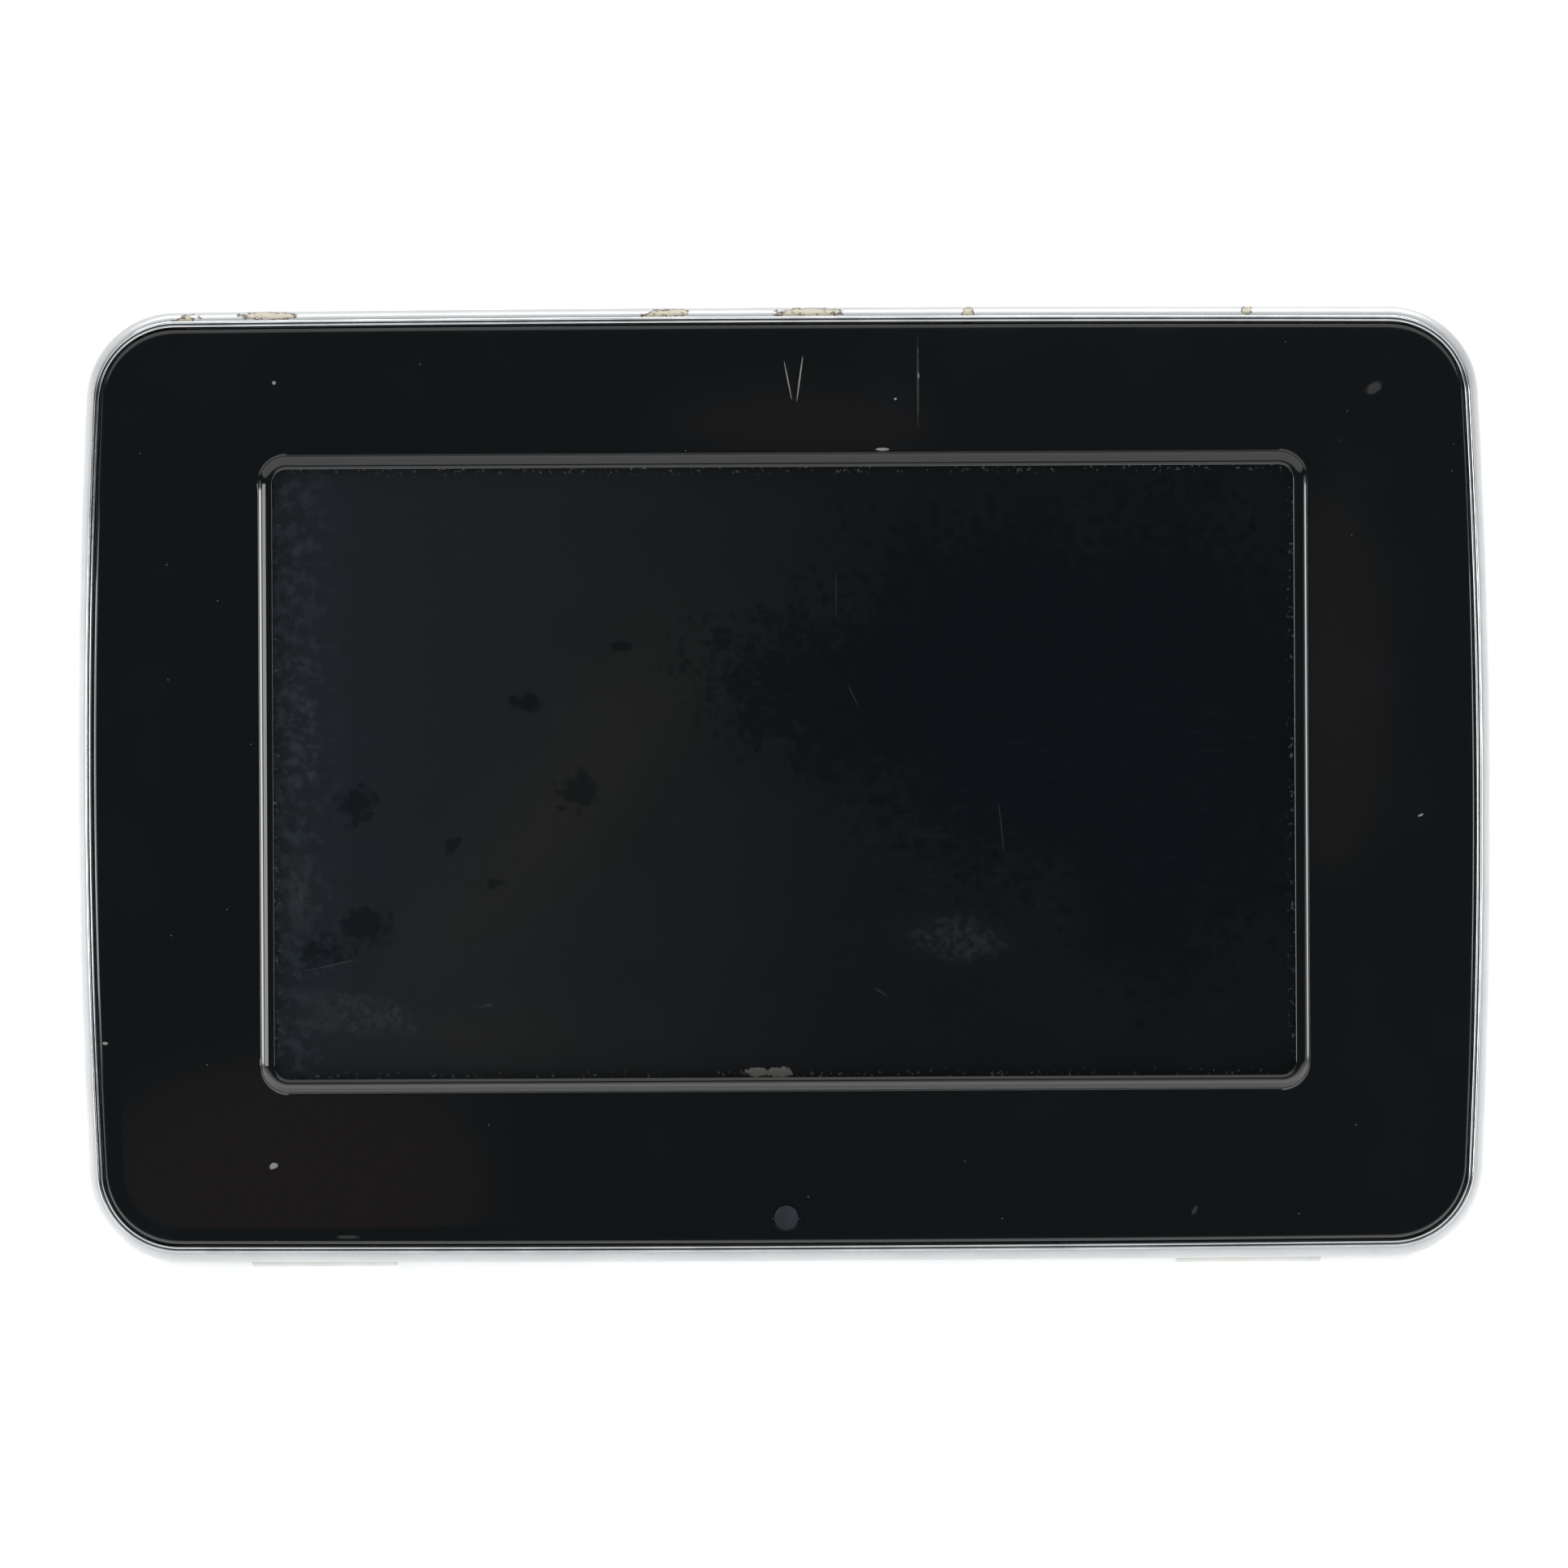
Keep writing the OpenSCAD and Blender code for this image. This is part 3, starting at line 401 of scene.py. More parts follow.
# High-gloss ABS under a hard clear coat: deep black, mirror-like, with handling marks
def gloss_abs():
    made, tree, surface = started("high_gloss_black_abs", IOR=1.5, Coat_Weight=1.0,
                                  Coat_Roughness=0.03)
    place = body_place(tree)
    smears = cloudy(tree, place, 26, 5, 0.5, 0.75)
    lengthwise = add(tree, "Mapping", {"Vector": place, "Rotation": (0, 0.5, 0),
                                       "Scale": (6, 1, 0.16)})
    swirls = cloudy(tree, lengthwise, 1, 2, 0.72, 0.78)
    dust = both(tree, specks(tree, place, 3.4, 0.13), 0.45)
    flecks = spots(tree, place, FLECKS, 0.6, 0.5, 0.3)
    scuffs = both(tree, spots(tree, place, SCUFFS, 0.9, 0.4, 0.5), 0.14)
    pale = either(tree, dust, flecks, scuffs)
    colour = coats(tree, "#0a0c0e", ("#0e1115", smears), ("#4a5058", swirls, 0.04),
                   ("#8b8a86", pale))
    rough = add(tree, "MapRange", [smears, 0, 1, 0.035, 0.085])
    wave = add(tree, "TexNoise", {"Vector": place, "Scale": 1 / 18, "Detail": 2})
    lead(tree, surface, colour, add(tree, "Math", [pale, 0.5, rough], operation="MULTIPLY_ADD"),
         wave, 0.012)
    return made


# Marks on the face are ellipses: centre, half sizes in mm, turn in degrees
# Two arms of a V-shaped scratch, a fleck of plaster and small nicks
FLECKS = [
    ((0.9, 60.9), (0.1, 3.3), 11), ((2.7, 61.2), (0.12, 3.8), -8), ((-77.3, -57.2), (0.75, 0.5), 20),
    ((15.1, 50.4), (1.2, 0.28), 0), ((-76.6, 60.9), (0.3, 0.3), 0), ((20.6, 61.5), (0.12, 0.5), 0),
    ((96.0, -5.2), (0.5, 0.16), 25), ((-102.6, -38.6), (0.5, 0.25), 0),
    ((17.1, 58.0), (0.25, 0.2), 0)]
# A faint long scratch and dull rubs
SCUFFS = [
    ((20.5, 60.5), (0.22, 8.0), 0), ((89.3, 59.3), (1.6, 1.0), 30), ((-61.0, 43.0), (2.4, 0.3), 0),
    ((-66.2, -68.0), (2.2, 0.35), 0), ((61.6, -64.6), (0.9, 0.4), 60)]


# Hard-coated film over black glass: a greasy haze, rubbed off in patches, with dust at the rim
def screen_film():
    made, tree, surface = started("hard_coated_screen_film", IOR=1.49)
    place = body_place(tree)
    x = add(tree, "SeparateXYZ", [place], 0)
    z = add(tree, "SeparateXYZ", [place], 2)
    rubbed = either(tree, spots(tree, place, RUBBED, 1.9, 1.7, 0.5),
                    spots(tree, place, RUBBED, 1.0, 10, 0.6))
    thin = either(tree, both(tree, rubbed, 0.9),
                  both(tree, spots(tree, place, FINGERED, 2.2, 1.3, 0.6), 0.6))
    # The screen is drawn lighter and bluer towards the left, darker towards the right
    film = both(tree, add(tree, "Math", [1.0, thin], operation="SUBTRACT"),
                add(tree, "MapRange", [x, -35, 25, 1.0, 0.55], **SMOOTH))
    left = add(tree, "MapRange", [x, -20, -76], **SMOOTH)
    streak = both(tree, film, spots(tree, place, STREAK, 0.7, 30, 1.0))
    grain = cloudy(tree, place, 1.1, 8, 0.38, 0.62)
    smudge = both(tree, spots(tree, place, SMUDGES, 1.0, 3, 0.8),
                  add(tree, "MapRange", [grain, 0, 1, 0.45, 1]))
    smear = both(tree, spots(tree, place, SMEARS, 1.1, 2.2, 0.7),
                 cloudy(tree, place, 0.9, 6, 0.3, 0.7))
    # A bluish cloudy band beside the left rim, with denser dust in it
    beside_rim = both(tree, add(tree, "MapRange", [x, -64, -76], **SMOOTH),
                      cloudy(tree, place, 2.2, 8, 0.42, 0.68))
    sideways = add(tree, "Mapping", {"Vector": place, "Rotation": (0, 0.06, 0),
                                     "Scale": (0.25, 1, 1.7)})
    wiped = both(tree, spots(tree, place, WIPED, 1.2, 9, 0.6),
                 cloudy(tree, sideways, 0.9, 7, 0.5, 0.72))
    from_side = add(tree, "Math", [WINDOW_W / 2, add(tree, "Math", [x], operation="ABSOLUTE")],
                    operation="SUBTRACT")
    over = add(tree, "Math", [add(tree, "Math", [z, WINDOW_RISE], operation="SUBTRACT")],
               operation="ABSOLUTE")
    from_top = add(tree, "Math", [WINDOW_H / 2, over], operation="SUBTRACT")
    rim = add(tree, "MapRange", [add(tree, "Math", [from_side, from_top], operation="MINIMUM"),
                                 1.5, 0.1], **SMOOTH)
    crumbs = both(tree, rim, cloudy(tree, place, 0.7, 8, 0.57, 0.66))
    dust = either(tree, specks(tree, place, 7, 0.1),
                  both(tree, beside_rim, specks(tree, place, 1.3, 0.12)))
    lines = spots(tree, place, SCRATCHES, 0.5, 1.2, 0.5)
    residue = spots(tree, place, RESIDUE, 1.3, 0.7, 0.2)
    mottle = both(tree, film, cloudy(tree, place, 12, 8, 0.35, 0.7))
    colour = coats(
        tree, "#080c11", ("#0f1112", film), ("#151a20", film, left), ("#16191b", mottle, 0.3),
        ("#1d1c1a", streak, 0.6), ("#090b0e", film, grain, 0.15), ("#262b31", wiped, 0.14),
        ("#24272c", smudge, 0.16), ("#353e47", beside_rim, 0.5), ("#3c3c3c", smear, 0.35),
        ("#6a6d6e", crumbs, 0.45), ("#8d949a", lines, 0.08), ("#b4b8ba", dust, 0.35),
        ("#65645d", residue))
    worn = either(tree, both(tree, film, 0.3), both(tree, either(tree, smudge, smear), 0.45),
                  crumbs, residue)
    lead(tree, surface, colour, add(tree, "MapRange", [worn, 0, 1, 0.08, 0.5]), worn, 0.008)
    return made


# Where the haze is rubbed off, where fingers took it off, a broad warm grey streak, where it was
# wiped
RUBBED = [((42, 12), (42, 32), -20), ((58, 8), (26, 42), 0)]
FINGERED = [
    ((-30.9, -1.0), (4.2, 3.4), 0), ((-24.1, 21.0), (2.4, 1.1), 10), ((-38.8, 12.4), (3.0, 1.8), 0),
    ((-64.5, -2.9), (3.4, 3.8), 0), ((-63.3, -21.2), (4.6, 3.6), 0),
    ((-70.6, -24.9), (5.5, 3.2), 10), ((-50, -9), (2.2, 1.2), 30), ((-44, -15), (1.6, 1.2), 0),
    ((8, 13), (26, 14), -15)]
STREAK = [((-36, -6), (15, 62), -39), ((-50, -38), (26, 9), 0)]
WIPED = [((30, -6), (36, 22), 30), ((-6, 22), (16, 14), 0), ((60, 2), (20, 30), 0)]
# Thumbed patches, thicker smears, thin scratches and the scrap of glue at the foot
SMUDGES = [((26.5, -23.7), (12.5, 6.0), -8), ((-73, 10), (6, 26), 0)]
SMEARS = [((-64.0, -34.4), (11.5, 4.2), -10), ((-45.5, -33.3), (2.4, 0.45), 10),
          ((-73.5, -16), (2.6, 8), 0), ((-70, -36), (6, 1.2), -5)]
SCRATCHES = [
    ((32.8, -6.9), (0.1, 4.6), 6), ((10.5, 13.3), (0.1, 2.2), 25), ((8.0, 28.6), (0.08, 4.0), 0),
    ((-68.5, -27.0), (5.0, 0.1), 12), ((14.5, -31.5), (1.3, 0.12), -35)]
RESIDUE = [((-4.2, -43.5), (1.9, 0.75), 0), ((-0.9, -43.5), (2.2, 0.85), 0)]


# Silver-white lacquer on ABS: near white with a fine flake, chipped along the top
def silver_lacquer():
    made, tree, surface = started("silver_white_lacquer", Coat_Weight=0.15, Coat_Roughness=0.2)
    place = body_place(tree)
    reach = reach_of(tree, place, *PAINT_CHIPS[0], *CHIP_EDGE)
    for chip in PAINT_CHIPS[1:]:
        one = reach_of(tree, place, *chip, *CHIP_EDGE)
        reach = add(tree, "Math", [reach, one], operation="MINIMUM")
    bare = add(tree, "MapRange", [reach, 1.0, 0.96], **SMOOTH)
    rim = both(tree, add(tree, "MapRange", [reach, 1.34, 1.06], **SMOOTH),
               cloudy(tree, place, 0.9, 3, 0.3, 0.45))
    cracks = both(tree, bare, cloudy(tree, place, 0.8, 3, 0.55, 0.62))
    thickness = cloudy(tree, place, 14, 4, 0.3, 0.7)
    flake = cloudy(tree, place, 0.25, 2, 0.55, 0.7)
    colour = coats(tree, "#c6c8ca", ("#d0d2d3", thickness), ("#dcddde", flake, 0.2),
                   ("#57493a", rim), ("#c2bba8", bare), ("#6b5b46", cracks, 0.7))
    rough = add(tree, "MapRange", [either(tree, bare, rim), 0, 1, 0.3, 0.75])
    lead(tree, surface, colour, rough, add(tree, "MapRange", [reach, 0.94, 1.06], **SMOOTH), 0.06)
    return made


# Chips in the lacquer. Their edge is ragged by 1.7 in grains of 1.1 mm, and they reach 3.4 mm in
# depth either way from 1.2 mm behind the face
CHIP_EDGE = (1.7, 1.1, (1.2, 3.4))
PAINT_CHIPS = [
    ((-93.0, 69.0), (4.4, 0.9), 24), ((-77.6, 71.1), (3.6, 0.55), 0), ((-18.2, 70.9), (2.6, 0.8), 8),
    ((-16.0, 71.3), (1.8, 0.5), 0), ((4.2, 71.0), (4.2, 0.85), 0), ((28.2, 70.6), (0.85, 1.3), 0),
    ((70.2, 71.2), (0.7, 0.6), 0), ((1.4, 70.0), (1.2, 0.6), 20)]


# Solder mask over copper: green, with a fine grid of tracks and bright tinned pads
def solder_mask():
    made, tree, surface = started("green_solder_mask", Coat_Weight=0.3)
    place = body_place(tree)
    cells = add(tree, "TexVoronoi", {"Vector": place, "Scale": 1 / 5}, "Distance",
                feature="F1", distance="MANHATTAN")
    waves = add(tree, "Math", [add(tree, "Math", [cells, 5.0], operation="MULTIPLY")],
                operation="FRACT")
    middle = add(tree, "Math", [waves, 0.5], operation="SUBTRACT")
    tracks = add(tree, "MapRange", [add(tree, "Math", [middle], operation="ABSOLUTE"), 0.2, 0.14],
                 **SMOOTH)
    pads = specks(tree, place, 3.4, 0.5)
    tree.links.new(pads, surface.inputs["Metallic"])
    colour = coats(tree, "#0d3d24", ("#1b6a3c", tracks), ("#c8c3b2", pads))
    lead(tree, surface, colour, add(tree, "MapRange", [tracks, 0, 1, 0.38, 0.3]), tracks, 0.03)
    return made


# Every finish, by the record's slot. The values of a plain one are: two colours, the size of their
# clouds in mm, roughness and how far it wanders, and the grain's size and relief in mm
FINISHES = {
    "gloss_black": gloss_abs(),
    "screen_glass": screen_film(),
    "silver_paint": silver_lacquer(),
    "board_green": solder_mask(),
    # Bright chromium over nickel on plastic: a clear mirror with a faint wave
    "chrome_plate": grained("bright_chrome_plate", "#c4c7ca", "#dcdee0", 9, 0.09, 0.02, 1.6, 0.004,
                            Metallic=1.0),
    # Smoked acrylic that passes infrared: dark, glassy, grey
    "sensor_lens": grained("smoked_acrylic_lens", "#2f3236", "#383b40", 3, 0.08, 0.02, 1.5, 0.004,
                           Coat_Weight=0.6),
    # Spark-textured ABS: matt charcoal, fine even grit, drawn at 0.45 mm
    "black_abs": grained("spark_textured_abs", "#131517", "#1a1c1f", 22, 0.5, 0.07, 0.45, 0.03),
    # Satin ABS, moulded smoother than the cover: the keys catch more light
    "key_abs": grained("satin_key_abs", "#1d1f21", "#24272a", 6, 0.36, 0.05, 0.35, 0.01),
    # Moulded silicone rubber: dull, soft, slightly dusty
    "rubber_black": grained("moulded_silicone_rubber", "#17181a", "#222325", 5, 0.72, 0.08, 0.4,
                            0.03),
    # Milky silicone: translucent, dull
    "rubber_clear": grained("milky_silicone_rubber", "#dddeda", "#e6e7e4", 5, 0.5, 0.06, 0.4, 0.02,
                            Subsurface_Weight=0.3, Subsurface_Scale=0.002),
    # Blackened steel screws, with worn bright crowns
    "screw_steel": grained("black_oxide_steel", "#4d5053", "#7b7e81", 1.4, 0.36, 0.08, 0.4, 0.01,
                           Metallic=1.0),
    # Rolled steel sheet with a zinc coat: grey, with soft spangle
    "steel_sheet": grained("zinc_coated_steel", "#9da1a3", "#bcc0c2", 7, 0.34, 0.08, 0.8, 0.006,
                           Metallic=1.0),
    # Stamped shells dipped in tin: pale, silky
    "tinned_metal": grained("tinned_steel", "#b4b7b9", "#cfd2d3", 3, 0.28, 0.06, 0.6, 0.005,
                            Metallic=1.0),
    # Cast acrylic sheet and its white reflector: milky white
    "light_guide": grained("milky_acrylic_sheet", "#eceae4", "#f6f5f0", 18, 0.35, 0.05, 1.2, 0.004),
    # Closed-cell foam tape: dull black with open pores
    "foam": grained("closed_cell_foam", "#0f0f10", "#1c1c1d", 1.2, 0.9, 0.05, 0.5, 0.12),
    # Chip packages of filled epoxy: dull near-black with a fine sparkle
    "black_epoxy": grained("filled_epoxy", "#1d1f21", "#292b2e", 2, 0.55, 0.06, 0.3, 0.01),
    # Fired ceramic bodies: tan to brown
    "ceramic": grained("fired_ceramic", "#8a7657", "#a08c6b", 1.5, 0.45, 0.06, 0.3, 0.01),
    # Turned brass: yellow, satin
    "brass": grained("turned_brass", "#b08d45", "#c9a75c", 2, 0.3, 0.06, 0.3, 0.005, Metallic=1.0),
    # Polyimide film over copper: amber, smooth
    "polyimide": grained("amber_polyimide_film", "#a5651a", "#be7d28", 4, 0.3, 0.05, 0.8, 0.005,
                         Coat_Weight=0.4),
    # Nylon, as moulded: off-white, waxy
    "white_nylon": grained("natural_nylon", "#e3dfd2", "#efebe0", 4, 0.48, 0.05, 0.4, 0.01,
                           Subsurface_Weight=0.1),
    # PVC insulation, extruded: red, slightly waxy
    "wire_red": grained("red_pvc_insulation", "#9c241d", "#b33428", 5, 0.42, 0.05, 0.5, 0.008),
    # PVC insulation, extruded: off-white
    "wire_white": grained("white_pvc_insulation", "#cfcbc0", "#e0ddd3", 5, 0.42, 0.05, 0.5, 0.008),
    # Pressed paper pulp: dark grey with fibres
    "speaker_paper": grained("pressed_paper_cone", "#3b3d40", "#4d4f52", 2, 0.8, 0.06, 0.3, 0.03),
    # Pressed iron pole plate, zinc plated: dull grey metal
    "magnet_iron": grained("plated_pole_iron", "#6d7073", "#85888b", 3, 0.36, 0.06, 0.4, 0.01,
                           Metallic=1.0),
}


def dress(made, slot, body, *nodes):
    """Gives a piece its finish and the body it rides on, and hides the CAD nodes it stands for."""
    made.data.materials.clear()
    made.data.materials.append(FINISHES[slot])
    flat = made.modifiers.new("flat_faces_stay_flat", "WEIGHTED_NORMAL")
    flat.keep_sharp, flat.weight = True, 100
    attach(made, body)
    if nodes:
        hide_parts(*nodes)
    return made


# ---------- front ----------


def edge_section():
    """The bezel's outer edge as (inset from the bezel's side, depth): a quarter ellipse, then a
    crown that falls off with the square of the distance over the last FALL_W mm."""
    a = np.radians(np.linspace(0, 90, 8))
    turn = list(zip(EDGE_W * (1 - np.cos(a)), FACE_FALL + EDGE_DEPTH * (1 - np.sin(a))))
    s = np.linspace(EDGE_W + 0.2, FALL_W, 8)
    return turn + list(zip(s, FACE_FALL * ((FALL_W - s) / (FALL_W - EDGE_W)) ** 2))


def bead_section():
    """The bead as (distance outside the window, depth): a small hollow fillet, a quarter ellipse
    up to a top that falls slightly inwards, and a small quarter circle over the inner edge."""
    b = np.radians(np.linspace(0, 90, 4))[:-1]
    a = np.radians(np.linspace(8, 90, 12))
    c = np.radians(np.linspace(0, 90, 5))
    crest, inner = BEAD_W - BEAD_ROUND, BEAD_H - BEAD_TILT
    foot, rise = crest + BEAD_ROUND * np.cos(a[0]), BEAD_H * np.sin(a[0])
    fillet = list(zip(foot + BEAD_FILLET * (1 - np.sin(b)), -rise * (1 - np.cos(b))))
    outer = list(zip(crest + BEAD_ROUND * np.cos(a), -BEAD_H * np.sin(a)))
    top = [(crest - 0.1, -BEAD_H + 0.005), (BEAD_EDGE + 0.06, -inner - 0.004)]
    edge = list(zip(BEAD_EDGE * (1 - np.sin(c)), -inner + BEAD_EDGE * (1 - np.cos(c))))
    return fillet + outer + top + edge


def front_bezel():
    """One closed skin: skirt, rounded edge, face, bead and window wall, then back inside. The
    rings within a flat stretch, such as those 5 and 0.9 mm deep, only keep its shading even."""
    rings = [ring(body_outline(BEZEL_IN), SKIRT_BACK), ring(body_outline(BEZEL_IN), 5),
             ring(body_outline(BEZEL_IN), 0.9)]
    rings += [ring(body_outline(BEZEL_IN + s), y) for s, y in edge_section()]
    rings += [ring(body_outline(BEZEL_IN + FALL_W + 0.2), 0)]
    rings += [ring(window_outline(BEAD_W + BEAD_FILLET + 0.3), 0)]
    rings += [ring(window_outline(d), y) for d, y in bead_section()]
    rings += [ring(window_outline(0), -0.6), ring(window_outline(0), LIP_Y)]
    pocket = window_outline(POCKET_OVER)
    pocket[:, 0] *= (WINDOW_W / 2 + POCKET_BESIDE) / (WINDOW_W / 2 + POCKET_OVER)
    rings += [ring(pocket, LIP_Y), ring(pocket, FACE_T),
              ring(body_outline(BEZEL_IN + WALL), FACE_T),
              ring(body_outline(BEZEL_IN + WALL), SKIRT_BACK)]
    made = swept("bezel_plate", rings)
    r = SENSOR_R + SLACK
    flare = [(0, -1), (r + SENSOR_FLARE + 1, -1), (r, SENSOR_FLARE), (r, 4), (0, 4)]
    tool = turned("sensor_hole", (0, -SENSOR_DROP), flare, 64)
    return cut(made, tool)


def trim_ring():
    """Two half-round beads on a flat foot, with a narrow slot between, carried round the body."""
    half = (TRIM_W - 0.04 - TRIM_SLOT) / 4
    a = np.radians(np.linspace(0, 180, 9))
    profile = []
    for side in (0, 1):
        middle = TRIM_IN - 0.01 - half - side * (2 * half + TRIM_SLOT)
        profile += list(zip(middle + half * np.cos(a), TRIM_FRONT + TRIM_RISE * (1 - np.sin(a))))
        if side == 0:
            profile += [(middle - half, TRIM_DEEP), (middle - half - TRIM_SLOT, TRIM_DEEP)]
    profile += [(SILVER_W + 0.02, TRIM_FOOT), (TRIM_IN, TRIM_FOOT)]
    return swept("trim_ring_plated", [ring(body_outline(s), y) for s, y in profile], sharp=60)


def housing_band():
    """The band's section: a long quarter ellipse in front, a short one behind, a flange inside."""
    a = np.radians(np.linspace(0, 90, 16))
    front = list(zip(SILVER_W * (1 - np.sin(a) ** 1.15),
                     BAND_FRONT + BAND_NOSE * (1 - np.cos(a) ** 0.9)))
    rear = list(zip(BAND_REAR_IN * (1 - np.cos(a[::2])),
                    BAND_FLANK + (BAND_BACK - BAND_FLANK) * np.sin(a[::2])))
    inside = [(FLANGE_IN, BAND_BACK), (FLANGE_IN, FLANGE_Y), (BAND_WALL_IN, FLANGE_Y),
              (BAND_WALL_IN, TRIM_SEAT), (SILVER_W, TRIM_SEAT)]
    made = swept("band_lacquered", [ring(body_outline(s), y) for s, y in front + rear + inside])
    half, bottom = FOOT_L / 2 + SLACK, -BODY_H / 2
    tools = [brick("foot_recess", (s * FOOT_X - half, BAND_BACK - FOOT_W - SLACK, bottom - 3.5),
                   (s * FOOT_X + half, BAND_BACK + 1, bottom + FOOT_LET_IN)) for s in (-1, 1)]
    return cut(made, *tools)


dress(front_bezel(), "gloss_black", "root", "front_bezel")
dress(trim_ring(), "chrome_plate", "root", "trim_ring")
dress(housing_band(), "silver_paint", "root", "housing_band")
dress(finished("lcd_panel", 0.3, "screen"), "screen_glass", "root", "lcd_panel")
dress(finished("sensor_window", 0.28, "sensor_lens", 3), "sensor_lens", "root", "sensor_window")

# ---------- keys ----------

# Where each key is, its radius, and the shape and turn of the raised mark on it
KEYS = {
    "key_up": (PAD_AT + [0, KEY_PITCH], KEY_R, 3, 90),
    "key_down": (PAD_AT - [0, KEY_PITCH], KEY_R, 3, 270),
    "key_left": (PAD_AT - [KEY_PITCH, 0], KEY_R, 3, 180),
    "key_right": (PAD_AT + [KEY_PITCH, 0], KEY_R, 3, 0),
    "key_menu": (MENU_AT, KEY_R, 4, 45), "key_power": (POWER_AT, KEY_R, 32, 0),
    "key_enter": (PAD_AT, ENTER_R, 32, 0)}


def key_cap(name, at, r):
    """Stem, collar, side, rounded rim, and a top that sinks by the square of the way inwards."""
    inner, collar = r - KEY_RIM, r + COLLAR_W
    dish = [(inner * k, KEY_TOP - KEY_DISH * (1 - k * k)) for k in np.linspace(1, 0, 9)]
    stem = [(0, STEM_FOOT), (STEM_R - 0.2, STEM_FOOT), (STEM_R, STEM_FOOT + 0.2),
            (STEM_R, COLLAR_FOOT), (collar, COLLAR_FOOT), (collar, COLLAR_TOP), (r, COLLAR_TOP)]
    return turned(name + "_cap", at, stem + rounded_off(r, KEY_TOP, KEY_ROUND) + dish)


def key_mark(name, at, sides, turn):
    """A small raised shape with as many sides as asked, in the middle of the key's dish."""
    top = KEY_TOP - 0.02
    profile = [(0, top - 0.5), (MARK_R, top - 0.5), (MARK_R, top - MARK_EDGE),
               (MARK_R - MARK_EDGE, top), (0, top)]
    return turned(name + "_mark", at, profile, sides, turn, 20 if sides < 8 else SHARP)


for name, (at, r, sides, turn) in KEYS.items():
    dress(key_cap(name, at, r), "key_abs", name, name)
    dress(key_mark(name, at, sides, turn), "white_nylon", name)

# ---------- pieces whose CAD shape gets rounded edges ----------

# Node: slot, edge radius in mm, body. Wires have none, and their facets are shaded smooth up to
# WIRE_SHARP degrees
WIRE_SHARP = 60
ROUNDED = {
    "rear_cover": ("black_abs", 0.25, "root"), "stand_leg": ("black_abs", 0.45, "stand"),
    "stand_foot_pad": ("rubber_black", 0.3, "stand"), "foot_left": ("rubber_clear", 0.3, "root"),
    "foot_right": ("rubber_clear", 0.3, "root"), "cover_screws": ("screw_steel", 0.12, "root"),
    "hinge_pin": ("steel_sheet", 0.2, "root"), "hinge_washers": ("white_nylon", 0.08, "root"),
    "usb_socket": ("tinned_metal", 0.1, "root"), "mini_usb_socket": ("tinned_metal", 0.1, "root"),
    "card_socket": ("tinned_metal", 0.1, "root"), "power_jack": ("black_epoxy", 0.15, "root"),
    "speaker_frame_left": ("black_abs", 0.15, "root"),
    "speaker_frame_right": ("black_abs", 0.15, "root"),
    "tact_switches": ("black_epoxy", 0.12, "root"), "chassis_screws": ("screw_steel", 0.1, "root"),
    "board_screws": ("screw_steel", 0.12, "root"), "inductors": ("black_epoxy", 0.2, "root"),
    "capacitors": ("tinned_metal", 0.2, "root"), "processor": ("black_epoxy", 0.12, "root"),
    "memory_chips": ("black_epoxy", 0.1, "root"), "flash_chip": ("black_epoxy", 0.1, "root"),
    "coin_cell": ("steel_sheet", 0.25, "root"), "coin_cell_holder": ("black_epoxy", 0.15, "root"),
    "receiver_wires": ("wire_red", 0, "root"), "speaker_wires": ("wire_red", 0, "root"),
    "backlight_cable": ("wire_white", 0, "root"), "ir_receiver": ("black_epoxy", 0.1, "root"),
}
for node, (slot, edge, body) in ROUNDED.items():
    dress(finished(node, edge, sharp=SHARP if edge else WIRE_SHARP), slot, body, node)

# ---------- CAD nodes that stay as they are ----------

# Node: slot
CARRIED = {
    "lcd_metal_frame": "steel_sheet", "backlight": "light_guide", "lcd_flex": "polyimide",
    "screen_gasket": "foam", "chassis_plate": "steel_sheet", "board_standoffs": "brass",
    "main_board": "board_green", "crystal": "tinned_metal", "smd_parts": "ceramic",
    "lcd_connector": "white_nylon", "wire_connectors": "white_nylon",
    "speaker_cone_left": "speaker_paper", "speaker_cone_right": "speaker_paper",
    "speaker_magnet_left": "magnet_iron", "speaker_magnet_right": "magnet_iron",
}
for node, slot in CARRIED.items():
    carried = frame["nodes"][node]
    if not carried.material_slots:
        carried.data.materials.append(FINISHES[slot])
    for place in carried.material_slots:
        place.material = FINISHES[slot]

# ---------- stage ----------

NORMAL = TIP @ Vector((0, -1, 0))
BODY_UP = TIP @ Vector((0, 0, 1))


def floor():
    """A flat square of opal acrylic, lit from below: pale, even and without a shadow."""
    half = 6.0
    mesh = bpy.data.meshes.new("floor")
    mesh.from_pydata([(-half, -half, 0), (half, -half, 0), (half, half, 0), (-half, half, 0)], [],
                     [(0, 1, 2, 3)])
    made = bpy.data.objects.new("floor", mesh)
    bpy.context.scene.collection.objects.link(made)
    finish, tree, surface = started("back_lit_opal_sheet", Roughness=0.9, Emission_Strength=0.5,
                                    Emission_Color=(1, 1, 1, 1))
    # The place is in metres here, so these clouds are 0.4 m across
    clouds = cloudy(tree, add(tree, "TexCoord", [], "Object"), 0.4, 3, 0.3, 0.7)
    tree.links.new(coats(tree, "#f7f7f6", ("#fbfbfb", clouds)), surface.inputs["Base Color"])
    mesh.materials.append(finish)


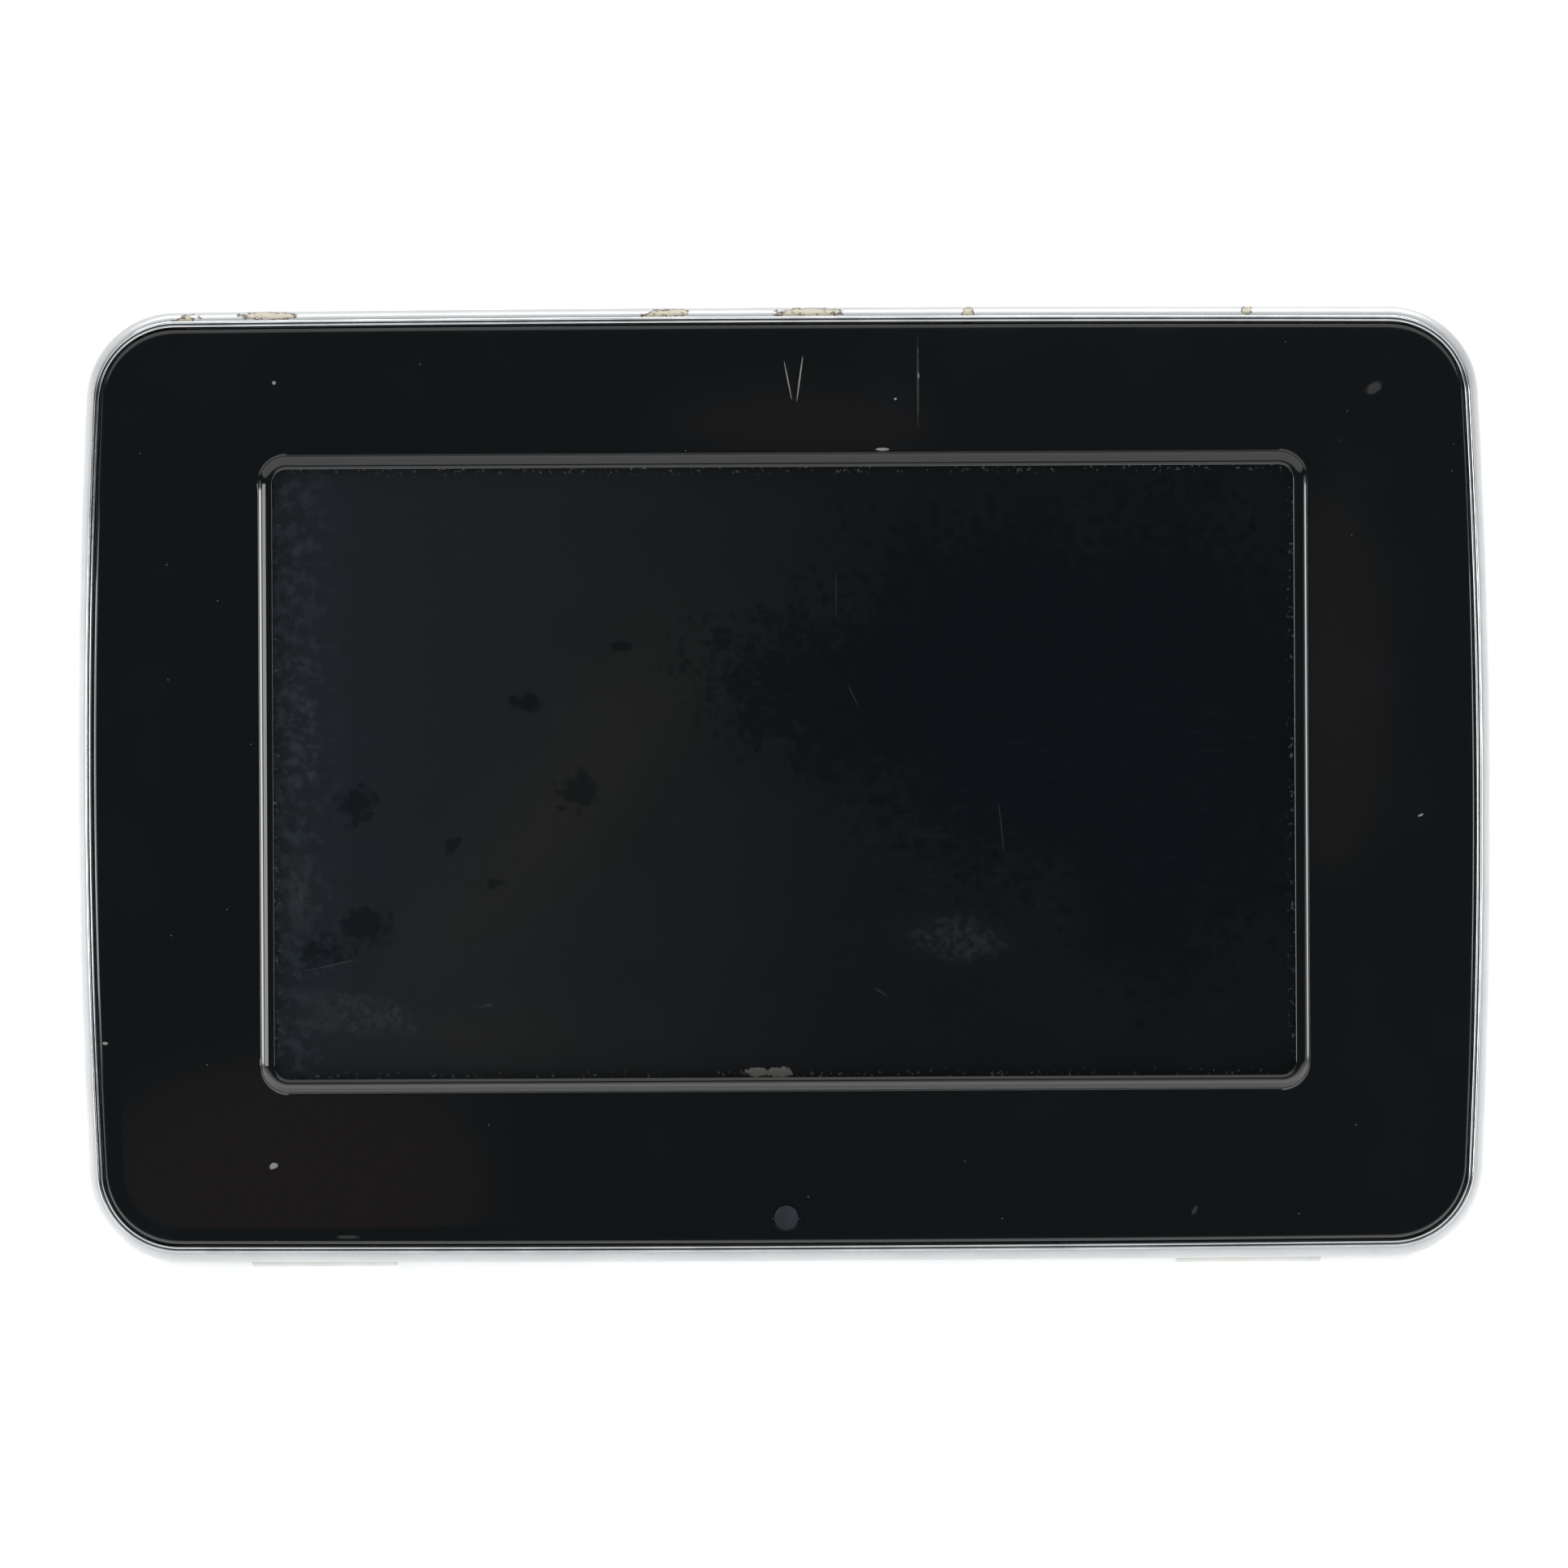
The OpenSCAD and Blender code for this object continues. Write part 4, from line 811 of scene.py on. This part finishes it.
def softbox(name, place, width, height, radiance, colour=(1, 1, 1), shape="RECTANGLE"):
    """A flat lamp that faces the screen, its height along the body's. Its power is radiance x pi
    x width x height."""
    lamp = bpy.data.lights.new(name, "AREA")
    lamp.color = colour
    lamp.shape, lamp.size, lamp.size_y = shape, width, height
    lamp.energy = radiance * math.pi * width * height
    made = bpy.data.objects.new(name, lamp)
    made.location = place
    away = (Vector(place) - FACE).normalized()
    side = BODY_UP.cross(away).normalized()
    made.rotation_euler = Matrix((side, away.cross(side), away)).transposed().to_euler()
    made.visible_camera = False
    bpy.context.scene.collection.objects.link(made)


def sky():
    """Grey above and low down, dim in a band between, where the gloss face looks, and pale
    where the camera sees it past the floor. The band's edges are heights in degrees."""
    world = bpy.data.worlds.new("studio")
    world.use_nodes = True
    tree = world.node_tree
    back = tree.nodes["Background"]
    rise = add(tree, "SeparateXYZ", [add(tree, "TexCoord", [], "Generated")], 2)
    above, over, below, under = (math.sin(math.radians(a)) for a in (23, 28, 12, 8))
    bright = either(tree, add(tree, "MapRange", [rise, above, over], **SMOOTH),
                    add(tree, "MapRange", [rise, below, under], **SMOOTH))
    dim, grey, pale = (0.05, 0.06, 0.064, 1), (0.76, 0.76, 0.76, 1), (1.1, 1.1, 1.1, 1)
    lit = add(tree, "Mix", {0: bright, 6: dim, 7: grey}, 2, data_type="RGBA")
    seen = add(tree, "LightPath", [], "Is Camera Ray")
    tree.links.new(add(tree, "Mix", {0: seen, 6: lit, 7: pale}, 2, data_type="RGBA"),
                   back.inputs["Color"])
    bpy.context.scene.world = world


def beside(turn, away):
    """A point away from the face's middle, turn degrees to the right of its normal."""
    a = math.radians(turn)
    return FACE + away * (math.cos(a) * NORMAL + math.sin(a) * Vector((1, 0, 0)))


floor()
sky()
softbox("left_front_softbox", beside(-41, 2.5), 1.34, 0.27, 3.4)
softbox("left_softbox", beside(-84, 2.5), 1.25, 0.27, 6.8)
softbox("right_softbox", beside(90, 2.5), 1.34, 0.27, 5.0)
softbox("rear_softbox", (0.5, 1.5, 1.1), 0.9, 0.7, 2.5)
softbox("high_rear_softbox", (-0.1, 0.9, 1.3), 1.6, 0.5, 7.5)

# Dim warm lamps that the face mirrors, as it would the woodwork of a room: how far right and up
# they are from its normal, width and height
for name, right, up, width, height in (("low_left_glow", -0.2, -0.16, 0.16, 0.1),
                                       ("right_glow", 0.22, 0.04, 0.045, 0.15),
                                       ("top_glow", 0.01, 0.145, 0.1, 0.022)):
    softbox(name, FACE + 3.0 * NORMAL + Vector((right, 0, 0)) + up * BODY_UP, width, height, 0.05,
            (1.0, 0.55, 0.3), "ELLIPSE")

# The camera looks straight at the face from DISTANCE metres and sees VIEW_WIDTH metres there
DISTANCE, VIEW_WIDTH, ROLL = 1.8, 0.2365, math.radians(-0.3)
camera = bpy.data.objects.new("camera", bpy.data.cameras.new("camera"))
camera.data.lens = camera.data.sensor_width * DISTANCE / VIEW_WIDTH
camera.location = FACE + NORMAL * DISTANCE
camera.rotation_mode = "QUATERNION"
camera.rotation_quaternion = (Matrix.Rotation(ROLL, 4, NORMAL).to_quaternion()
                              @ (-NORMAL).to_track_quat("-Z", "Y"))
bpy.context.scene.collection.objects.link(camera)
bpy.context.scene.camera = camera
bpy.context.scene.view_settings.view_transform = "Standard"
